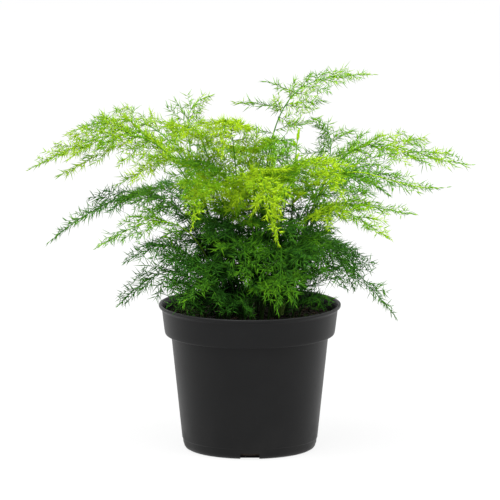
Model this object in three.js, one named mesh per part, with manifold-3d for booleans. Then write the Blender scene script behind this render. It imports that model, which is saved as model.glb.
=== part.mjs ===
// Potted asparagus fern: a 12 cm nursery pot, its soil and a bush of arching, feathery stems.
// Millimetres, +Z up, the pot stands on z = 0 round the Z axis, and -Y is the front.
import * as THREE from "three";
import { mergeVertices } from "three/addons/utils/BufferGeometryUtils.js";
import Module from "manifold-3d";

const wasm = await Module();
wasm.setup();

// Driving dimensions
const GAP = 0.3; // clear space kept between pieces
const POT = {
  baseRadius: 39.3,
  cornerRadius: 4.2,
  bodyRadius: 51.9, // under the collar
  collarFoot: 76.2,
  collarRadius: 56.4,
  mouthRadius: 58.1,
  lipRadius: 60,
  height: 96.4,
  wall: 1.1,
  floor: 1.6,
  ledgeHeight: 7.4,
  ledgeDepth: 0.35,
  ledgeBevel: 0.5,
  cornerShares: [0.5, 0.85], // of the quarter turn at the foot
  shoulderInset: 2,
  shoulder: 3.4, // height of the collar's lower curve
  flare: 3, // height of the lip's flare
  lipEdge: 1.2,
  lipBevel: 0.5,
  rimInset: 0.2,
  footInside: 6, // up to here the inner wall widens
  stepInside: 0.8,
  sides: 36,
};
const SLOT = { width: 12.5, height: 3.4, innerRadius: 36, outerRadius: 50, count: 4 };
const SOIL = { top: 86, relief: 0.94, rough: 0.6, sides: 18, holeDepth: 13, rings: [0.72, 0.36] };
const STEM = { root: 1.05, leafy: 0.7, tip: 0.36, aboveSoil: 3, offBottom: 1, step: 15, waist: 0.96 };
const TWIG = {
  root: 0.66,
  tip: 0.34,
  room: 0.7,
  parts: 4, // straight rods that stand for a twig in the tests
  offStem: 4.5, // length from the root over which it may be close to its own stem
  spread: 0.8, // cosine of the angle that the growth rule opens a twig to at least
  closest: 0.86, // cosine of the least angle to the stem
  mostTufts: 4,
  tuftStep: 11,
  firstTuft: 0.6, // share of the tuft spacing
  perPair: 0.55, // of the growth rule's pairs, the share that is built
  fewest: 3,
  most: 6,
  firstPick: 0.3,
  bud: 0.75,
  budWaist: 0.55,
  // what is tried, in these orders, to bend a twig clear
  shares: [1, 0.75, 0.5],
  rises: [0, 0.15, -0.15, 0.3, 0.45],
  tilts: [0, 0.15, -0.15, 0.3, -0.3, 0.45, -0.45],
};
// The growth rule of the side twigs. Angles are in degrees.
const GROWTH = {
  pairStep: 9.5,
  fewestPairs: 5,
  jitter: 0.35,
  furthest: 0.97,
  level: 0.5, // how much of the stem's own slope a twig keeps
  forward: 0.15,
  roll: 12,
  frontRoll: 15, // how far the sprays lean toward the front
  closed: 27, // angle of the last twigs
  closing: 0.7,
  swing: 8,
  taper: 0.82,
  lowest: 0.7, // length of the lowest twigs against the rule
  lowestRise: 0.12,
  lengths: [0.62, 1.12],
  shortest: 4,
  droop: 0.1,
  droopOfAge: 0.1,
  droopSwing: 0.07,
};
const TUFT = { length: 1.2, twist: 0.5, onStem: 2, lastReach: 4.5, step: 9.5, apart: 4 };
const NEEDLE = {
  young: 4.8,
  old: 6.8,
  radius: 0.3,
  miss: 0.6, // between the axes of needles of one spray
  foot: 0.7, // length from the root over which the needle may touch its neighbours
  wide: 1.02,
  narrow: 0.68,
  turns: [0.8, -0.2], // of the wide and the narrow needle on one side of a rod
  swing: 0.12,
  sizes: [0.82, 1.12],
  closest: 0.75, // cosine of the least angle to a twig on the same ring
  // bend and share of the length that are tried, in this order, to keep a needle clear
  tries: [
    [0, 1],
    [0.22, 1],
    [-0.22, 1],
    [0, 0.7],
    [0.2, 0.55],
  ],
};
const BRANCHLET = { shortest: 6.5, longest: 13, share: 0.3, spread: 0.84, sideways: 0.72, flatten: 0.8 };
const THIRD = (2 * Math.PI) / 3;
const CLEAR = 0.32; // between the skins of two leafy rods
const OFF_POT = { step: 0.8, all: 0.7, wall: 0.6, soil: 0.5 };
const AGES = { mid: 0.3, dark: 0.65 }; // where the leaf colours change

// Leafy stems: name, root x and y, the handle it rises to, the handle it arches over, the tip,
// longest side twig, share of the stem below the plume, age (0 pale to 1 dark), angle of the
// lowest twigs in degrees, and how much the twigs are held up against their own weight.
const FRONDS = [
  ["left_high", [-14, 3], [-43, 4, 246], [-91, 6, 213], [-146, 4, 185], 46, 0.48, 0.12, 70, 0.04],
  ["left_back", [-12, 12], [-38, 20, 230], [-76, 46, 220], [-121, 70, 199], 42, 0.48, 0.18, 68, 0.08],
  ["left_top", [-8, 8], [-33, 10, 184], [-59, 30, 224], [-24, 48, 228], 26, 0.64, 0.2, 54, 0.08],
  ["front_high", [-5, -2], [-8, -10, 224], [-16, -42, 251], [-18, -84, 208], 40, 0.44, 0.05, 68, 0.02],
  ["crown_left", [-10, -2], [-26, -4, 227], [-39, -31, 237], [-54, -64, 205], 34, 0.46, 0.14, 68, 0.02],
  ["crown_right", [7, 2], [12, -4, 216], [18, -32, 230], [16, -72, 200], 34, 0.42, 0.3, 66, 0],
  ["top_right", [5, 10], [8, 14, 240], [22, 24, 245], [82, 34, 244], 30, 0.62, 0.22, 84, 0.1],
  ["right_up", [20, 14], [48, 22, 170], [68, 38, 208], [40, 52, 212], 27, 0.68, 0.35, 54, 0.08],
  ["right_high", [23, 8], [55, 10, 249], [88, 8, 193], [146, 0, 189], 44, 0.5, 0.25, 70, 0.06],
  ["right_mid", [21, -3], [50, -14, 238], [73, -24, 172], [129, -34, 180], 29, 0.48, 0.4, 66, 0.02],
  ["right_pale", [17, -6], [40, -16, 188], [66, -30, 166], [109, -40, 163], 22, 0.55, 0.35, 62, 0],
  ["right_bright", [15, -9], [36, -22, 200], [61, -46, 165], [92, -70, 152], 28, 0.5, 0.1, 64, -0.02],
  ["centre_right", [13, 0], [26, -10, 223], [40, -38, 209], [62, -84, 180], 38, 0.42, 0.08, 66, 0],
  ["front_bright", [1, -7], [3, -24, 217], [3, -74, 216], [19, -96, 153], 34, 0.42, 0.04, 64, -0.05],
  ["left_bright", [-8, -8], [-18, -20, 200], [-30, -56, 204], [-38, -84, 160], 34, 0.4, 0.08, 64, 0],
  ["centre_mid", [-1, 4], [8, 0, 186], [12, -22, 213], [22, -78, 176], 42, 0.38, 0.4, 66, 0],
  ["left_mid", [-6, 3], [-18, 0, 199], [-30, -22, 217], [-44, -70, 178], 40, 0.4, 0.35, 66, 0],
  ["left_dark", [-18, 0], [-39, 2, 198], [-85, 4, 176], [-133, 0, 137], 32, 0.42, 0.72, 68, 0.05],
  ["left_light", [-17, -8], [-33, -16, 180], [-72, -30, 157], [-101, -38, 140], 25, 0.5, 0.35, 62, 0],
  ["left_low", [-21, -6], [-36, -14, 151], [-60, -26, 144], [-82, -34, 130], 30, 0.34, 0.8, 64, 0],
  ["left_fall", [-24, 5], [-39, 4, 131], [-63, -4, 122], [-87, -14, 97], 29, 0.3, 0.86, 64, -0.02],
  ["left_in", [-16, -12], [-30, -24, 138], [-42, -40, 141], [-54, -46, 114], 34, 0.3, 0.9, 64, -0.03],
  ["right_fall", [24, 2], [33, 2, 158], [59, -6, 135], [96, -14, 90], 24, 0.36, 0.8, 64, -0.03],
  ["right_low", [25, 11], [35, 16, 139], [49, 32, 153], [69, 28, 100], 34, 0.34, 0.86, 64, -0.03],
  ["centre_low", [14, -12], [22, -19, 141], [32, -37, 153], [50, -54, 126], 34, 0.3, 0.86, 64, -0.03],
  ["front_low", [12, -17], [20, -30, 163], [23, -58, 155], [18, -70, 103], 30, 0.4, 0.6, 64, -0.05],
  ["front_mid", [1, -13], [-3, -26, 156], [-6, -52, 158], [-1, -70, 121], 32, 0.34, 0.7, 64, -0.04],
  ["front_left", [-6, -15], [-16, -24, 137], [-24, -44, 143], [-30, -56, 115], 32, 0.28, 0.86, 64, -0.04],
  ["centre_dark", [-4, -5], [-7, -10, 157], [-13, -26, 168], [-29, -50, 144], 38, 0.34, 0.92, 64, 0],
  ["front_fan", [8, -21], [12, -34, 126], [18, -50, 134], [30, -60, 106], 30, 0.2, 0.72, 64, -0.02],
  ["left_fan", [-13, -19], [-22, -30, 120], [-34, -42, 128], [-44, -52, 104], 30, 0.2, 0.84, 64, -0.02],
  ["right_fan", [28, -7], [36, -14, 122], [48, -24, 136], [64, -34, 112], 28, 0.22, 0.78, 64, -0.02],
  ["centre_fan", [7, -9], [10, -14, 150], [16, -36, 172], [30, -64, 148], 34, 0.28, 0.66, 64, 0],
  ["back_left", [-12, 17], [-29, 40, 165], [-56, 78, 175], [-91, 104, 143], 42, 0.44, 0.6, 66, 0],
  ["back_right", [16, 17], [33, 44, 174], [58, 80, 184], [94, 104, 150], 42, 0.44, 0.45, 66, 0],
  ["back_centre", [4, 19], [4, 46, 191], [0, 84, 200], [-8, 132, 168], 44, 0.44, 0.3, 66, 0],
  ["back_low", [-3, 23], [-8, 50, 130], [-14, 82, 140], [-24, 106, 104], 34, 0.34, 0.86, 64, -0.03],
  ["back_fall", [13, 23], [33, 44, 131], [53, 64, 144], [70, 84, 105], 34, 0.34, 0.86, 64, -0.03],
  ["low_left", [-29, -14], [-33, -18, 106], [-41, -28, 109], [-51, -36, 95], 18, 0.15, 0.92, 62, 0],
  ["low_front", [-3, -30], [-3, -36, 108], [-9, -44, 112], [-18, -50, 98], 20, 0.15, 0.9, 62, 0],
  ["low_right", [32, -12], [36, -16, 106], [42, -22, 111], [49, -34, 97], 18, 0.15, 0.9, 62, 0],
  ["low_back", [8, 34], [11, 36, 104], [18, 44, 116], [28, 54, 99], 20, 0.15, 0.9, 62, 0],
];
const SHOOT = ["young_shoot", [19, -14], [30, -10, 149], [28, -9, 191], [32, -10, 212], 9, 0.6, 0, 40, 0];
const BUDS = {
  count: 5,
  turn: 2.4,
  lowest: 0.62,
  highest: 0.93,
  smallest: 0.5,
  up: 0.8,
  out: 0.6,
  rise: 0.1,
};
const SEED = 501; // of the needles' draws
const ROUGHNESS = { pot: 0.45, soil: 0.95, leaf: 0.6 };
const COLOURS = {
  pot: 0x26272a,
  soil: 0x2b1c12,
  pale: 0x9cc81e,
  mid: 0x5fa024,
  dark: 0x2c6a26,
  shoot: 0xbcd44a,
};

// Small vector and curve tools
const UP = new THREE.Vector3(0, 0, 1);
const point = (x, y, z) => new THREE.Vector3(x, y, z);
const mix = (a, b, share) => a + (b - a) * share;
const limit = (value, low, high) => Math.min(high, Math.max(low, value));
const radians = THREE.MathUtils.degToRad;
const middle = (corners) => corners[0].clone().add(corners[1]).add(corners[2]).divideScalar(3);

function eased(value) {
  const x = limit(value, 0, 1);
  return x * x * (3 - 2 * x);
}

// Repeatable draws between 0 and 1
class Draws {
  constructor(seed) {
    this.state = seed * 7919 + 101;
    for (let skipped = 0; skipped < 3; skipped++) this.next();
  }
  next() {
    this.state = (this.state * 48271) % 2147483647;
    return this.state / 2147483647;
  }
  between(low, high) {
    return low + (high - low) * this.next();
  }
}

function solidOf(geometry) {
  const loose = geometry.index ? geometry.toNonIndexed() : geometry;
  const bare = new THREE.BufferGeometry().setAttribute("position", loose.getAttribute("position"));
  const welded = mergeVertices(bare, 1e-4);
  return new wasm.Manifold(
    new wasm.Mesh({
      numProp: 3,
      vertProperties: welded.attributes.position.array,
      triVerts: new Uint32Array(welded.index.array),
    }),
  );
}

function meshOf(name, body, colour, roughness) {
  const made = body.getMesh();
  const corners = new Float32Array(made.numVert * 3);
  for (let i = 0; i < made.numVert; i++) {
    corners.set(made.vertProperties.subarray(i * made.numProp, i * made.numProp + 3), i * 3);
  }
  const geometry = new THREE.BufferGeometry();
  geometry.setAttribute("position", new THREE.BufferAttribute(corners, 3));
  geometry.setIndex(new THREE.BufferAttribute(made.triVerts, 1));
  geometry.computeVertexNormals();
  const mesh = new THREE.Mesh(geometry, new THREE.MeshStandardMaterial({ color: colour, roughness }));
  mesh.name = name;
  return mesh;
}

// A solid of revolution round Z from [radius, height] pairs that run up the outside
function turned(profile, sides) {
  const outline = profile.map(([radius, height]) => new THREE.Vector2(radius, height));
  const geometry = new THREE.LatheGeometry(outline, sides);
  geometry.rotateX(Math.PI / 2);
  return geometry;
}

// The pot's inner wall, below and above the step of its collar
function innerRadius(z) {
  const { baseRadius, cornerRadius, bodyRadius, collarRadius, mouthRadius, collarFoot, height, wall } = POT;
  if (z < collarFoot) return mix(baseRadius + cornerRadius, bodyRadius, z / collarFoot) - wall;
  return mix(collarRadius, mouthRadius, (z - collarFoot) / (height - collarFoot)) - wall;
}

function potBody() {
  const { baseRadius, cornerRadius, bodyRadius, collarFoot, collarRadius, mouthRadius, lipRadius } = POT;
  const { height, wall, floor, ledgeHeight, ledgeBevel, shoulder, flare, lipEdge, lipBevel, sides } = POT;
  const rise = (z) => mix(baseRadius + cornerRadius, bodyRadius, z / collarFoot);
  const corner = POT.cornerShares.map((share) => {
    const turn = (share * Math.PI) / 2;
    return [baseRadius + cornerRadius * Math.sin(turn), cornerRadius * (1 - Math.cos(turn))];
  });
  const outside = [
    [0, 0],
    [baseRadius, 0],
    ...corner,
    [rise(ledgeHeight - ledgeBevel), ledgeHeight - ledgeBevel],
    [rise(ledgeHeight) + POT.ledgeDepth, ledgeHeight],
    [bodyRadius, collarFoot],
    [collarRadius - POT.shoulderInset, collarFoot + ledgeBevel],
    [collarRadius, collarFoot + shoulder],
    [mouthRadius, height - flare],
    [lipRadius, height - lipEdge],
    [lipRadius - lipBevel, height],
    [mouthRadius - POT.rimInset, height],
  ];
  const inside = [
    [innerRadius(height - 2 * lipEdge), height - 2 * lipEdge],
    [innerRadius(collarFoot + shoulder), collarFoot + shoulder],
    [innerRadius(collarFoot - GAP), collarFoot + POT.stepInside],
    [innerRadius(POT.footInside), POT.footInside],
    [baseRadius - wall, floor],
    [0, floor],
  ];
  let body = solidOf(turned([...outside, ...inside], sides));
  for (let i = 0; i < SLOT.count; i++) {
    const length = SLOT.outerRadius - SLOT.innerRadius;
    const slot = new THREE.BoxGeometry(length, SLOT.width, SLOT.height * 2);
    slot.translate(SLOT.innerRadius + length / 2, 0, 0);
    slot.rotateZ(((i + 0.5) * 2 * Math.PI) / SLOT.count - Math.PI / 4);
    body = body.subtract(solidOf(slot));
  }
  return body;
}

// Two crossing waves keep the soil's surface uneven
function soilHeight(x, y) {
  const short = Math.sin(x * 0.19 + 1.1) * Math.cos(y * 0.23 - 0.4);
  const long = Math.sin(x * 0.07 - y * 0.11);
  return SOIL.top + SOIL.relief * (short + SOIL.rough * long);
}

function soilBody() {
  const { baseRadius, wall, floor, collarFoot, footInside, stepInside, shoulder } = POT;
  const edge = innerRadius(SOIL.top) - GAP;
  const profile = [
    [0, floor + GAP],
    [baseRadius - wall - GAP, floor + GAP],
    [innerRadius(footInside) - GAP, footInside + GAP],
    [innerRadius(collarFoot - GAP) - GAP, collarFoot + stepInside + GAP],
    [innerRadius(collarFoot + shoulder) - GAP, collarFoot + shoulder + GAP],
    [edge, SOIL.top],
    ...SOIL.rings.map((share) => [edge * share, SOIL.top]),
    [0, SOIL.top],
  ];
  const geometry = turned(profile, SOIL.sides);
  const corners = geometry.getAttribute("position");
  for (let i = 0; i < corners.count; i++) {
    const isTop = corners.getZ(i) > SOIL.top - GAP;
    if (isTop) corners.setZ(i, soilHeight(corners.getX(i), corners.getY(i)));
  }
  let body = solidOf(geometry);
  for (const [x, y] of [...FRONDS.map((row) => row[1]), SHOOT[1]]) {
    const hole = new THREE.CylinderGeometry(STEM.root + 2 * GAP, STEM.root + 2 * GAP, 2 * SOIL.holeDepth, 3);
    hole.rotateX(Math.PI / 2);
    hole.rotateZ(Math.PI);
    hole.translate(x, y, SOIL.top);
    body = body.subtract(solidOf(hole));
  }
  return body;
}

// Axes of all leafy parts placed so far, as thin rods that later ones keep clear of
const placed = [];

// True where the segments from a to b and from c to d come closer than reach
function rodsMeet(a, b, c, d, reach) {
  for (const axis of ["x", "y", "z"]) {
    if (Math.min(a[axis], b[axis]) - reach > Math.max(c[axis], d[axis])) return false;
    if (Math.min(c[axis], d[axis]) - reach > Math.max(a[axis], b[axis])) return false;
  }
  const u = b.clone().sub(a);
  const v = d.clone().sub(c);
  const w = a.clone().sub(c);
  const uu = u.dot(u);
  const vv = v.dot(v);
  const uv = u.dot(v);
  const uw = u.dot(w);
  const vw = v.dot(w);
  const area = uu * vv - uv * uv;
  let s = area > 1e-9 ? limit((uv * vw - vv * uw) / area, 0, 1) : 0;
  const t = limit((uv * s + vw) / vv, 0, 1);
  s = limit((uv * t - uw) / uu, 0, 1);
  return w.addScaledVector(u, s).addScaledVector(v, -t).length() < reach;
}

function keepPlace(from, to, radius, owner, spray, isNeedle = false) {
  placed.push({ from, to, radius, owner, spray, isNeedle });
}

// True where a rod of this radius keeps clear of all others. The axes of its own sprays don't
// count, and it only has to miss their needles.
function isClear(from, to, radius, owner, ownSprays) {
  return !placed.some((rod) => {
    const isOwn = rod.owner === owner && ownSprays.includes(rod.spray);
    if (isOwn && !rod.isNeedle) return false;
    return rodsMeet(from, to, rod.from, rod.to, isOwn ? NEEDLE.miss : radius + rod.radius + CLEAR);
  });
}

// True where the rod stays off the pot's wall and out of the soil
function isOffPot(from, to, radius) {
  const steps = Math.ceil(from.distanceTo(to) / OFF_POT.step);
  const away = radius + OFF_POT.all;
  for (let i = 1; i <= steps; i++) {
    const at = from.clone().lerp(to, i / steps);
    const out = Math.hypot(at.x, at.y);
    if (at.z > POT.height + away || out > POT.lipRadius + away) continue;
    if (out > innerRadius(at.z) - away - OFF_POT.wall) return false;
    if (at.z < soilHeight(at.x, at.y) + away + OFF_POT.soil) return false;
  }
  return true;
}

// The direction that puts a rod's next ring squarely over the three corners that it starts from
function sideOver(corners, at, along) {
  const first = corners[0].clone().sub(at);
  const side = first.addScaledVector(along, -first.dot(along)).normalize();
  const across = along.clone().cross(side);
  let turn = 0;
  for (const j of [1, 2]) {
    const spoke = corners[j].clone().sub(at);
    const angle = Math.atan2(spoke.dot(across), spoke.dot(side));
    turn += (j === 1 ? angle - THIRD : angle + THIRD) / 3;
  }
  return side.multiplyScalar(Math.cos(turn)).addScaledVector(across, Math.sin(turn));
}

// The three corners of each ring of a rod, with the frame that it stands in
function ringsOf(stations, firstCorners) {
  const last = stations.length - 1;
  const rings = [];
  let side = null;
  let twist = 0;
  for (let i = 0; i < last; i++) {
    const { at, radius, twig, tuft, closes } = stations[i];
    const behind = twig || tuft ? at : stations[Math.max(0, i - 1)].at;
    const ahead = closes ? at : stations[i + 1].at;
    const along = ahead.clone().sub(behind).normalize();
    if (firstCorners && i === 0) side = sideOver(firstCorners, at, along);
    side = side || point(0, 1, 0);
    side = side.clone().addScaledVector(along, -side.dot(along)).normalize();
    const front = side;
    const across = along.clone().cross(front);
    if (twig) {
      const azimuth = Math.atan2(twig.way.dot(across), twig.way.dot(front));
      const turns = Math.round((twist - azimuth + THIRD / 2) / THIRD);
      twist = azimuth - THIRD / 2 + turns * THIRD;
    } else if (tuft) {
      twist += TUFT.twist;
    }
    if (closes) twist = rings[i - 1].twist;
    const outward = (angle) =>
      front.clone().multiplyScalar(Math.cos(angle)).addScaledVector(across, Math.sin(angle));
    const corners =
      firstCorners && i === 0
        ? firstCorners
        : [0, 1, 2].map((j) => at.clone().addScaledVector(outward(twist + j * THIRD), radius));
    rings.push({ ...stations[i], along, twist, corners, outward });
  }
  return rings;
}

// Adds a three-sided rod through { at, radius } stations, ending in a point, to a list of faces.
// The short stretch behind a station with a tuft or a twig has its six faces raised: into needles,
// and one of them into the twig. A twig starts on the face that it is raised from, not on a cap.
// What points along the plume, to the rod's left or right (beside), is a longer bare branchlet.
function addRod(faces, stations, frond, spray, beside, firstCorners) {
  const rings = ringsOf(stations, firstCorners);
  const { draw, needle, owner } = frond;
  const add = (...corners) => corners.forEach((corner) => faces.push(corner.x, corner.y, corner.z));
  const addNeedle = (corners, ring, azimuth, needleSpread) => {
    const root = middle(corners);
    const out = ring.outward(ring.twist + azimuth + draw.between(-NEEDLE.swing, NEEDLE.swing));
    const sideways = out.dot(beside);
    const isBranchlet = ring.branchlet > 0 && Math.abs(sideways) > BRANCHLET.sideways;
    const opens = isBranchlet ? BRANCHLET.spread : needleSpread;
    const spread = opens + draw.between(-NEEDLE.swing, NEEDLE.swing);
    const size = (isBranchlet ? ring.branchlet : needle) * draw.between(...NEEDLE.sizes);
    if (isBranchlet) out.addScaledVector(beside, BRANCHLET.flatten * Math.sign(sideways)).normalize();
    for (const [bend, share] of NEEDLE.tries) {
      const way = ring.along.clone().multiplyScalar(Math.cos(spread + bend));
      way.addScaledVector(out, Math.sin(spread + bend));
      const tip = root.clone().addScaledVector(way, size * share);
      const own = ring.twig ? [spray, ring.twig.spray] : [spray];
      const besideTwig = !ring.twig || way.dot(ring.twig.way) < NEEDLE.closest;
      const start = root.clone().addScaledVector(way, NEEDLE.foot);
      const clear = besideTwig && isClear(start, tip, NEEDLE.radius, owner, own);
      if (clear && isOffPot(start, tip, NEEDLE.radius)) {
        keepPlace(start, tip, NEEDLE.radius, owner, spray, true);
        add(corners[0], corners[1], tip);
        add(corners[1], corners[2], tip);
        add(corners[2], corners[0], tip);
        return;
      }
    }
    add(...corners);
  };
  for (let i = 0; i + 1 < rings.length; i++) {
    const ring = rings[i];
    const low = ring.corners;
    const high = rings[i + 1].corners;
    const backward = ring.twig && ring.twig.way.dot(ring.along) < 0;
    const twigFace = ring.twig ? nearestFace(ring) : -1;
    for (let j = 0; j < 3; j++) {
      const k = (j + 1) % 3;
      const leans = !ring.tuft && !ring.twig && rings[i + 1].twist > ring.twist;
      const lower = [low[j], low[k], leans ? high[j] : high[k]];
      const upper = [leans ? low[k] : low[j], high[k], high[j]];
      if (j === twigFace) {
        const root = backward ? lower : upper;
        add(...(backward ? upper : lower));
        const { twig, along } = ring;
        const flat = along.clone().addScaledVector(twig.way, -along.dot(twig.way)).normalize();
        addRod(faces, twigStations(twig, middle(root)), frond, twig.spray, flat, root);
      } else if (ring.tuft || ring.twig) {
        const centre = (j + 0.5) * THIRD;
        addNeedle(lower, ring, centre + NEEDLE.turns[0], NEEDLE.wide);
        addNeedle(upper, ring, centre + NEEDLE.turns[1], NEEDLE.narrow);
      } else {
        add(...lower);
        add(...upper);
      }
    }
  }
  const [a, b, c] = rings[0].corners;
  if (!firstCorners) add(a, c, b);
  const rim = rings[rings.length - 1].corners;
  const tip = stations[stations.length - 1].at;
  [0, 1, 2].forEach((j) => add(rim[j], rim[(j + 1) % 3], tip));
}

// Which of a ring's three sides looks along its twig
function nearestFace(ring) {
  const looks = [0, 1, 2].map((j) => ring.outward(ring.twist + (j + 0.5) * THIRD).dot(ring.twig.way));
  return looks.indexOf(Math.max(...looks));
}

function bodyOf(faces) {
  const geometry = new THREE.BufferGeometry();
  geometry.setAttribute("position", new THREE.Float32BufferAttribute(faces, 3));
  return solidOf(geometry);
}

// The arch of a stem, with a table of its length
function archOf(row) {
  const [, [x, y], rise, reach, tip] = row;
  const root = point(x, y, SOIL.top + STEM.aboveSoil);
  const curve = new THREE.CubicBezierCurve3(root, point(...rise), point(...reach), point(...tip));
  curve.arcLengthDivisions = 64;
  return curve;
}

function stemRadius(share, leafy) {
  if (share < leafy) return mix(STEM.root, STEM.leafy, share / leafy);
  return mix(STEM.leafy, STEM.tip, (share - leafy) / (1 - leafy));
}

// Stations of a stem: up out of its hole, along the arch, with its twigs and the tufts at its tip
function stemStations(row, curve, twigs, tufts) {
  const [, [x, y]] = row;
  const leafy = row[6];
  const total = curve.getLength();
  const events = twigs.map((twig) => ({ share: twig.share, twig }));
  for (let i = 0; i < tufts; i++) {
    const share = 1 - (TUFT.lastReach + i * TUFT.step) / total;
    const crowded = events.some((event) => Math.abs(event.share - share) * total < TUFT.apart);
    if (!crowded) events.push({ share, tuft: true, branchlet: BRANCHLET.shortest + i });
  }
  events.sort((one, other) => one.share - other.share);
  const foot = SOIL.top - SOIL.holeDepth + STEM.offBottom;
  const stations = [{ at: point(x, y, foot), radius: STEM.root }];
  const addPlain = (from, to) => {
    const steps = Math.ceil(((to - from) * total) / STEM.step);
    for (let i = 1; i < steps; i++) {
      const share = mix(from, to, i / steps);
      stations.push({ at: curve.getPointAt(share), radius: stemRadius(share, leafy) });
    }
  };
  stations.push({ at: curve.getPointAt(0), radius: STEM.root });
  let done = 0;
  for (const event of events) {
    addPlain(done, event.share);
    const radius = stemRadius(event.share, leafy);
    const end = event.share + TUFT.length / total;
    stations.push({ ...event, at: curve.getPointAt(event.share), radius });
    stations.push({ at: curve.getPointAt(end), radius: radius * STEM.waist, closes: true });
    done = end;
  }
  addPlain(done, 1);
  stations.push({ at: curve.getPointAt(1), radius: 0 });
  return stations;
}

// Side twigs of one stem by the growth rule: alternate, longest low down, closing toward the tip
function twigsOf(row, curve, seed) {
  const [, root, , , tip, width, leafy, age, open, lift] = row;
  const draw = new Draws(seed);
  const { jitter, swing, roll, droopSwing } = GROWTH;
  const heading = point(tip[0] - root[0], tip[1] - root[1], 0).normalize();
  const beside = heading.clone().cross(UP);
  const plume = (1 - leafy) * curve.getLength();
  const pairs = Math.max(GROWTH.fewestPairs, Math.round(plume / GROWTH.pairStep));
  const twigs = [];
  for (let k = 0; k < 2 * pairs; k++) {
    const side = k % 2 === 0 ? 1 : -1;
    const u = Math.min(GROWTH.furthest, (k + 0.5 + draw.between(-jitter, jitter)) / (2 * pairs));
    const share = leafy + (1 - leafy) * u;
    const slope = curve.getTangentAt(share);
    const level = point(slope.x, slope.y, slope.z * GROWTH.level);
    level.addScaledVector(heading, GROWTH.forward).normalize();
    const tilt = radians(draw.between(-roll, roll) + GROWTH.frontRoll * side * beside.y);
    const out = beside.clone().multiplyScalar(side * Math.cos(tilt)).addScaledVector(UP, Math.sin(tilt));
    const angle = radians(mix(open, GROWTH.closed, u ** GROWTH.closing) + draw.between(-swing, swing));
    const way = level.multiplyScalar(Math.cos(angle)).addScaledVector(out, Math.sin(angle)).normalize();
    const tooClose = Math.abs(way.dot(slope)) - TWIG.spread;
    if (tooClose > 0) way.addScaledVector(slope, -tooClose * Math.sign(way.dot(slope))).normalize();
    const taper = (1 - u) ** GROWTH.taper * mix(GROWTH.lowest, 1, eased(u / GROWTH.lowestRise));
    const length = width * taper * draw.between(...GROWTH.lengths) + GROWTH.shortest;
    const sag = GROWTH.droop + GROWTH.droopOfAge * age - lift;
    twigs.push({ share, way, length, droop: sag + draw.between(-droopSwing, droopSwing) });
  }
  return twigs;
}

function twigPoint(start, way, length, droop, share) {
  const sag = droop * length * share * share;
  return start.clone().addScaledVector(way, length * share).addScaledVector(UP, -sag);
}

// Every second or third twig is built solid, on both sides in turn and never two at one spot
function chosenTwigs(twigs, total) {
  const count = limit(Math.round((twigs.length / 2) * TWIG.perPair), TWIG.fewest, TWIG.most);
  const chosen = Array.from({ length: count }, (_, i) => {
    const near = Math.floor(((i + TWIG.firstPick) * twigs.length) / count);
    const index = near - (near % 2) + (i % 2);
    return twigs[Math.min(index, twigs.length - 1)];
  });
  chosen.sort((one, other) => one.share - other.share);
  return chosen.filter((twig, i) => i === 0 || (twig.share - chosen[i - 1].share) * total > TUFT.apart);
}

// Bends a twig until its axis is clear of all other stems and twigs, or gives up on it
function bentClear(twig, start, slope, owner) {
  const isFree = (way, length) => {
    const off = Math.min(0.5, TWIG.offStem / length);
    const shares = [off / 3, off, mix(off, 1, 1 / 3), mix(off, 1, 2 / 3), 1];
    const spots = shares.map((share) => twigPoint(start, way, length, twig.droop, share));
    return spots.slice(1).every((to, i) => {
      const own = i === 0 || length < 2 * TWIG.offStem ? [0] : [];
      return isClear(spots[i], to, TWIG.room, owner, own) && isOffPot(spots[i], to, TWIG.room);
    });
  };
  for (const share of TWIG.shares) {
    const length = twig.length * share;
    for (const rise of TWIG.rises) {
      for (const tilt of TWIG.tilts) {
        const way = twig.way.clone().applyAxisAngle(UP, tilt).addScaledVector(UP, rise).normalize();
        const isOpen = Math.abs(way.dot(slope)) < TWIG.closest;
        if (isOpen && isFree(way, length)) return { ...twig, way, length, start };
      }
    }
  }
  return null;
}

// Stations of a twig that starts on the face of its stem, with tufts out to its tip
function twigStations(twig, start) {
  const { way, length, droop, tufts } = twig;
  const at = (s) => twigPoint(start, way, length, droop, s);
  const radius = (s) => mix(TWIG.root, TWIG.tip, s);
  const stations = [{ at: start, radius: TWIG.root }];
  for (let i = 0; i < tufts; i++) {
    const s = (i + TWIG.firstTuft) / tufts - TUFT.length / length / 2;
    const end = s + TUFT.length / length;
    const branchlet = Math.min(BRANCHLET.longest, BRANCHLET.shortest + BRANCHLET.share * length * (1 - s));
    stations.push({ at: at(s), radius: radius(s), tuft: true, branchlet });
    stations.push({ at: at(end), radius: radius(end), closes: true });
  }
  if (tufts === 0) stations.push({ at: at(TWIG.budWaist), radius: TWIG.bud });
  stations.push({ at: at(1), radius: 0 });
  return stations;
}

// A young shoot is nearly bare: its twigs are still closed buds that point up along it
function budsOf(row, curve) {
  return Array.from({ length: BUDS.count }, (_, i) => {
    const height = i / (BUDS.count - 1);
    const share = mix(BUDS.lowest, BUDS.highest, height);
    const out = point(Math.cos(i * BUDS.turn), Math.sin(i * BUDS.turn), 0);
    const way = curve.getTangentAt(share).multiplyScalar(BUDS.up).addScaledVector(out, BUDS.out).normalize();
    return { share, way, length: row[5] * mix(1, BUDS.smallest, height), droop: -BUDS.rise };
  });
}

function leafColour(age) {
  if (age < AGES.mid) return COLOURS.pale;
  return age < AGES.dark ? COLOURS.mid : COLOURS.dark;
}

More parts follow.
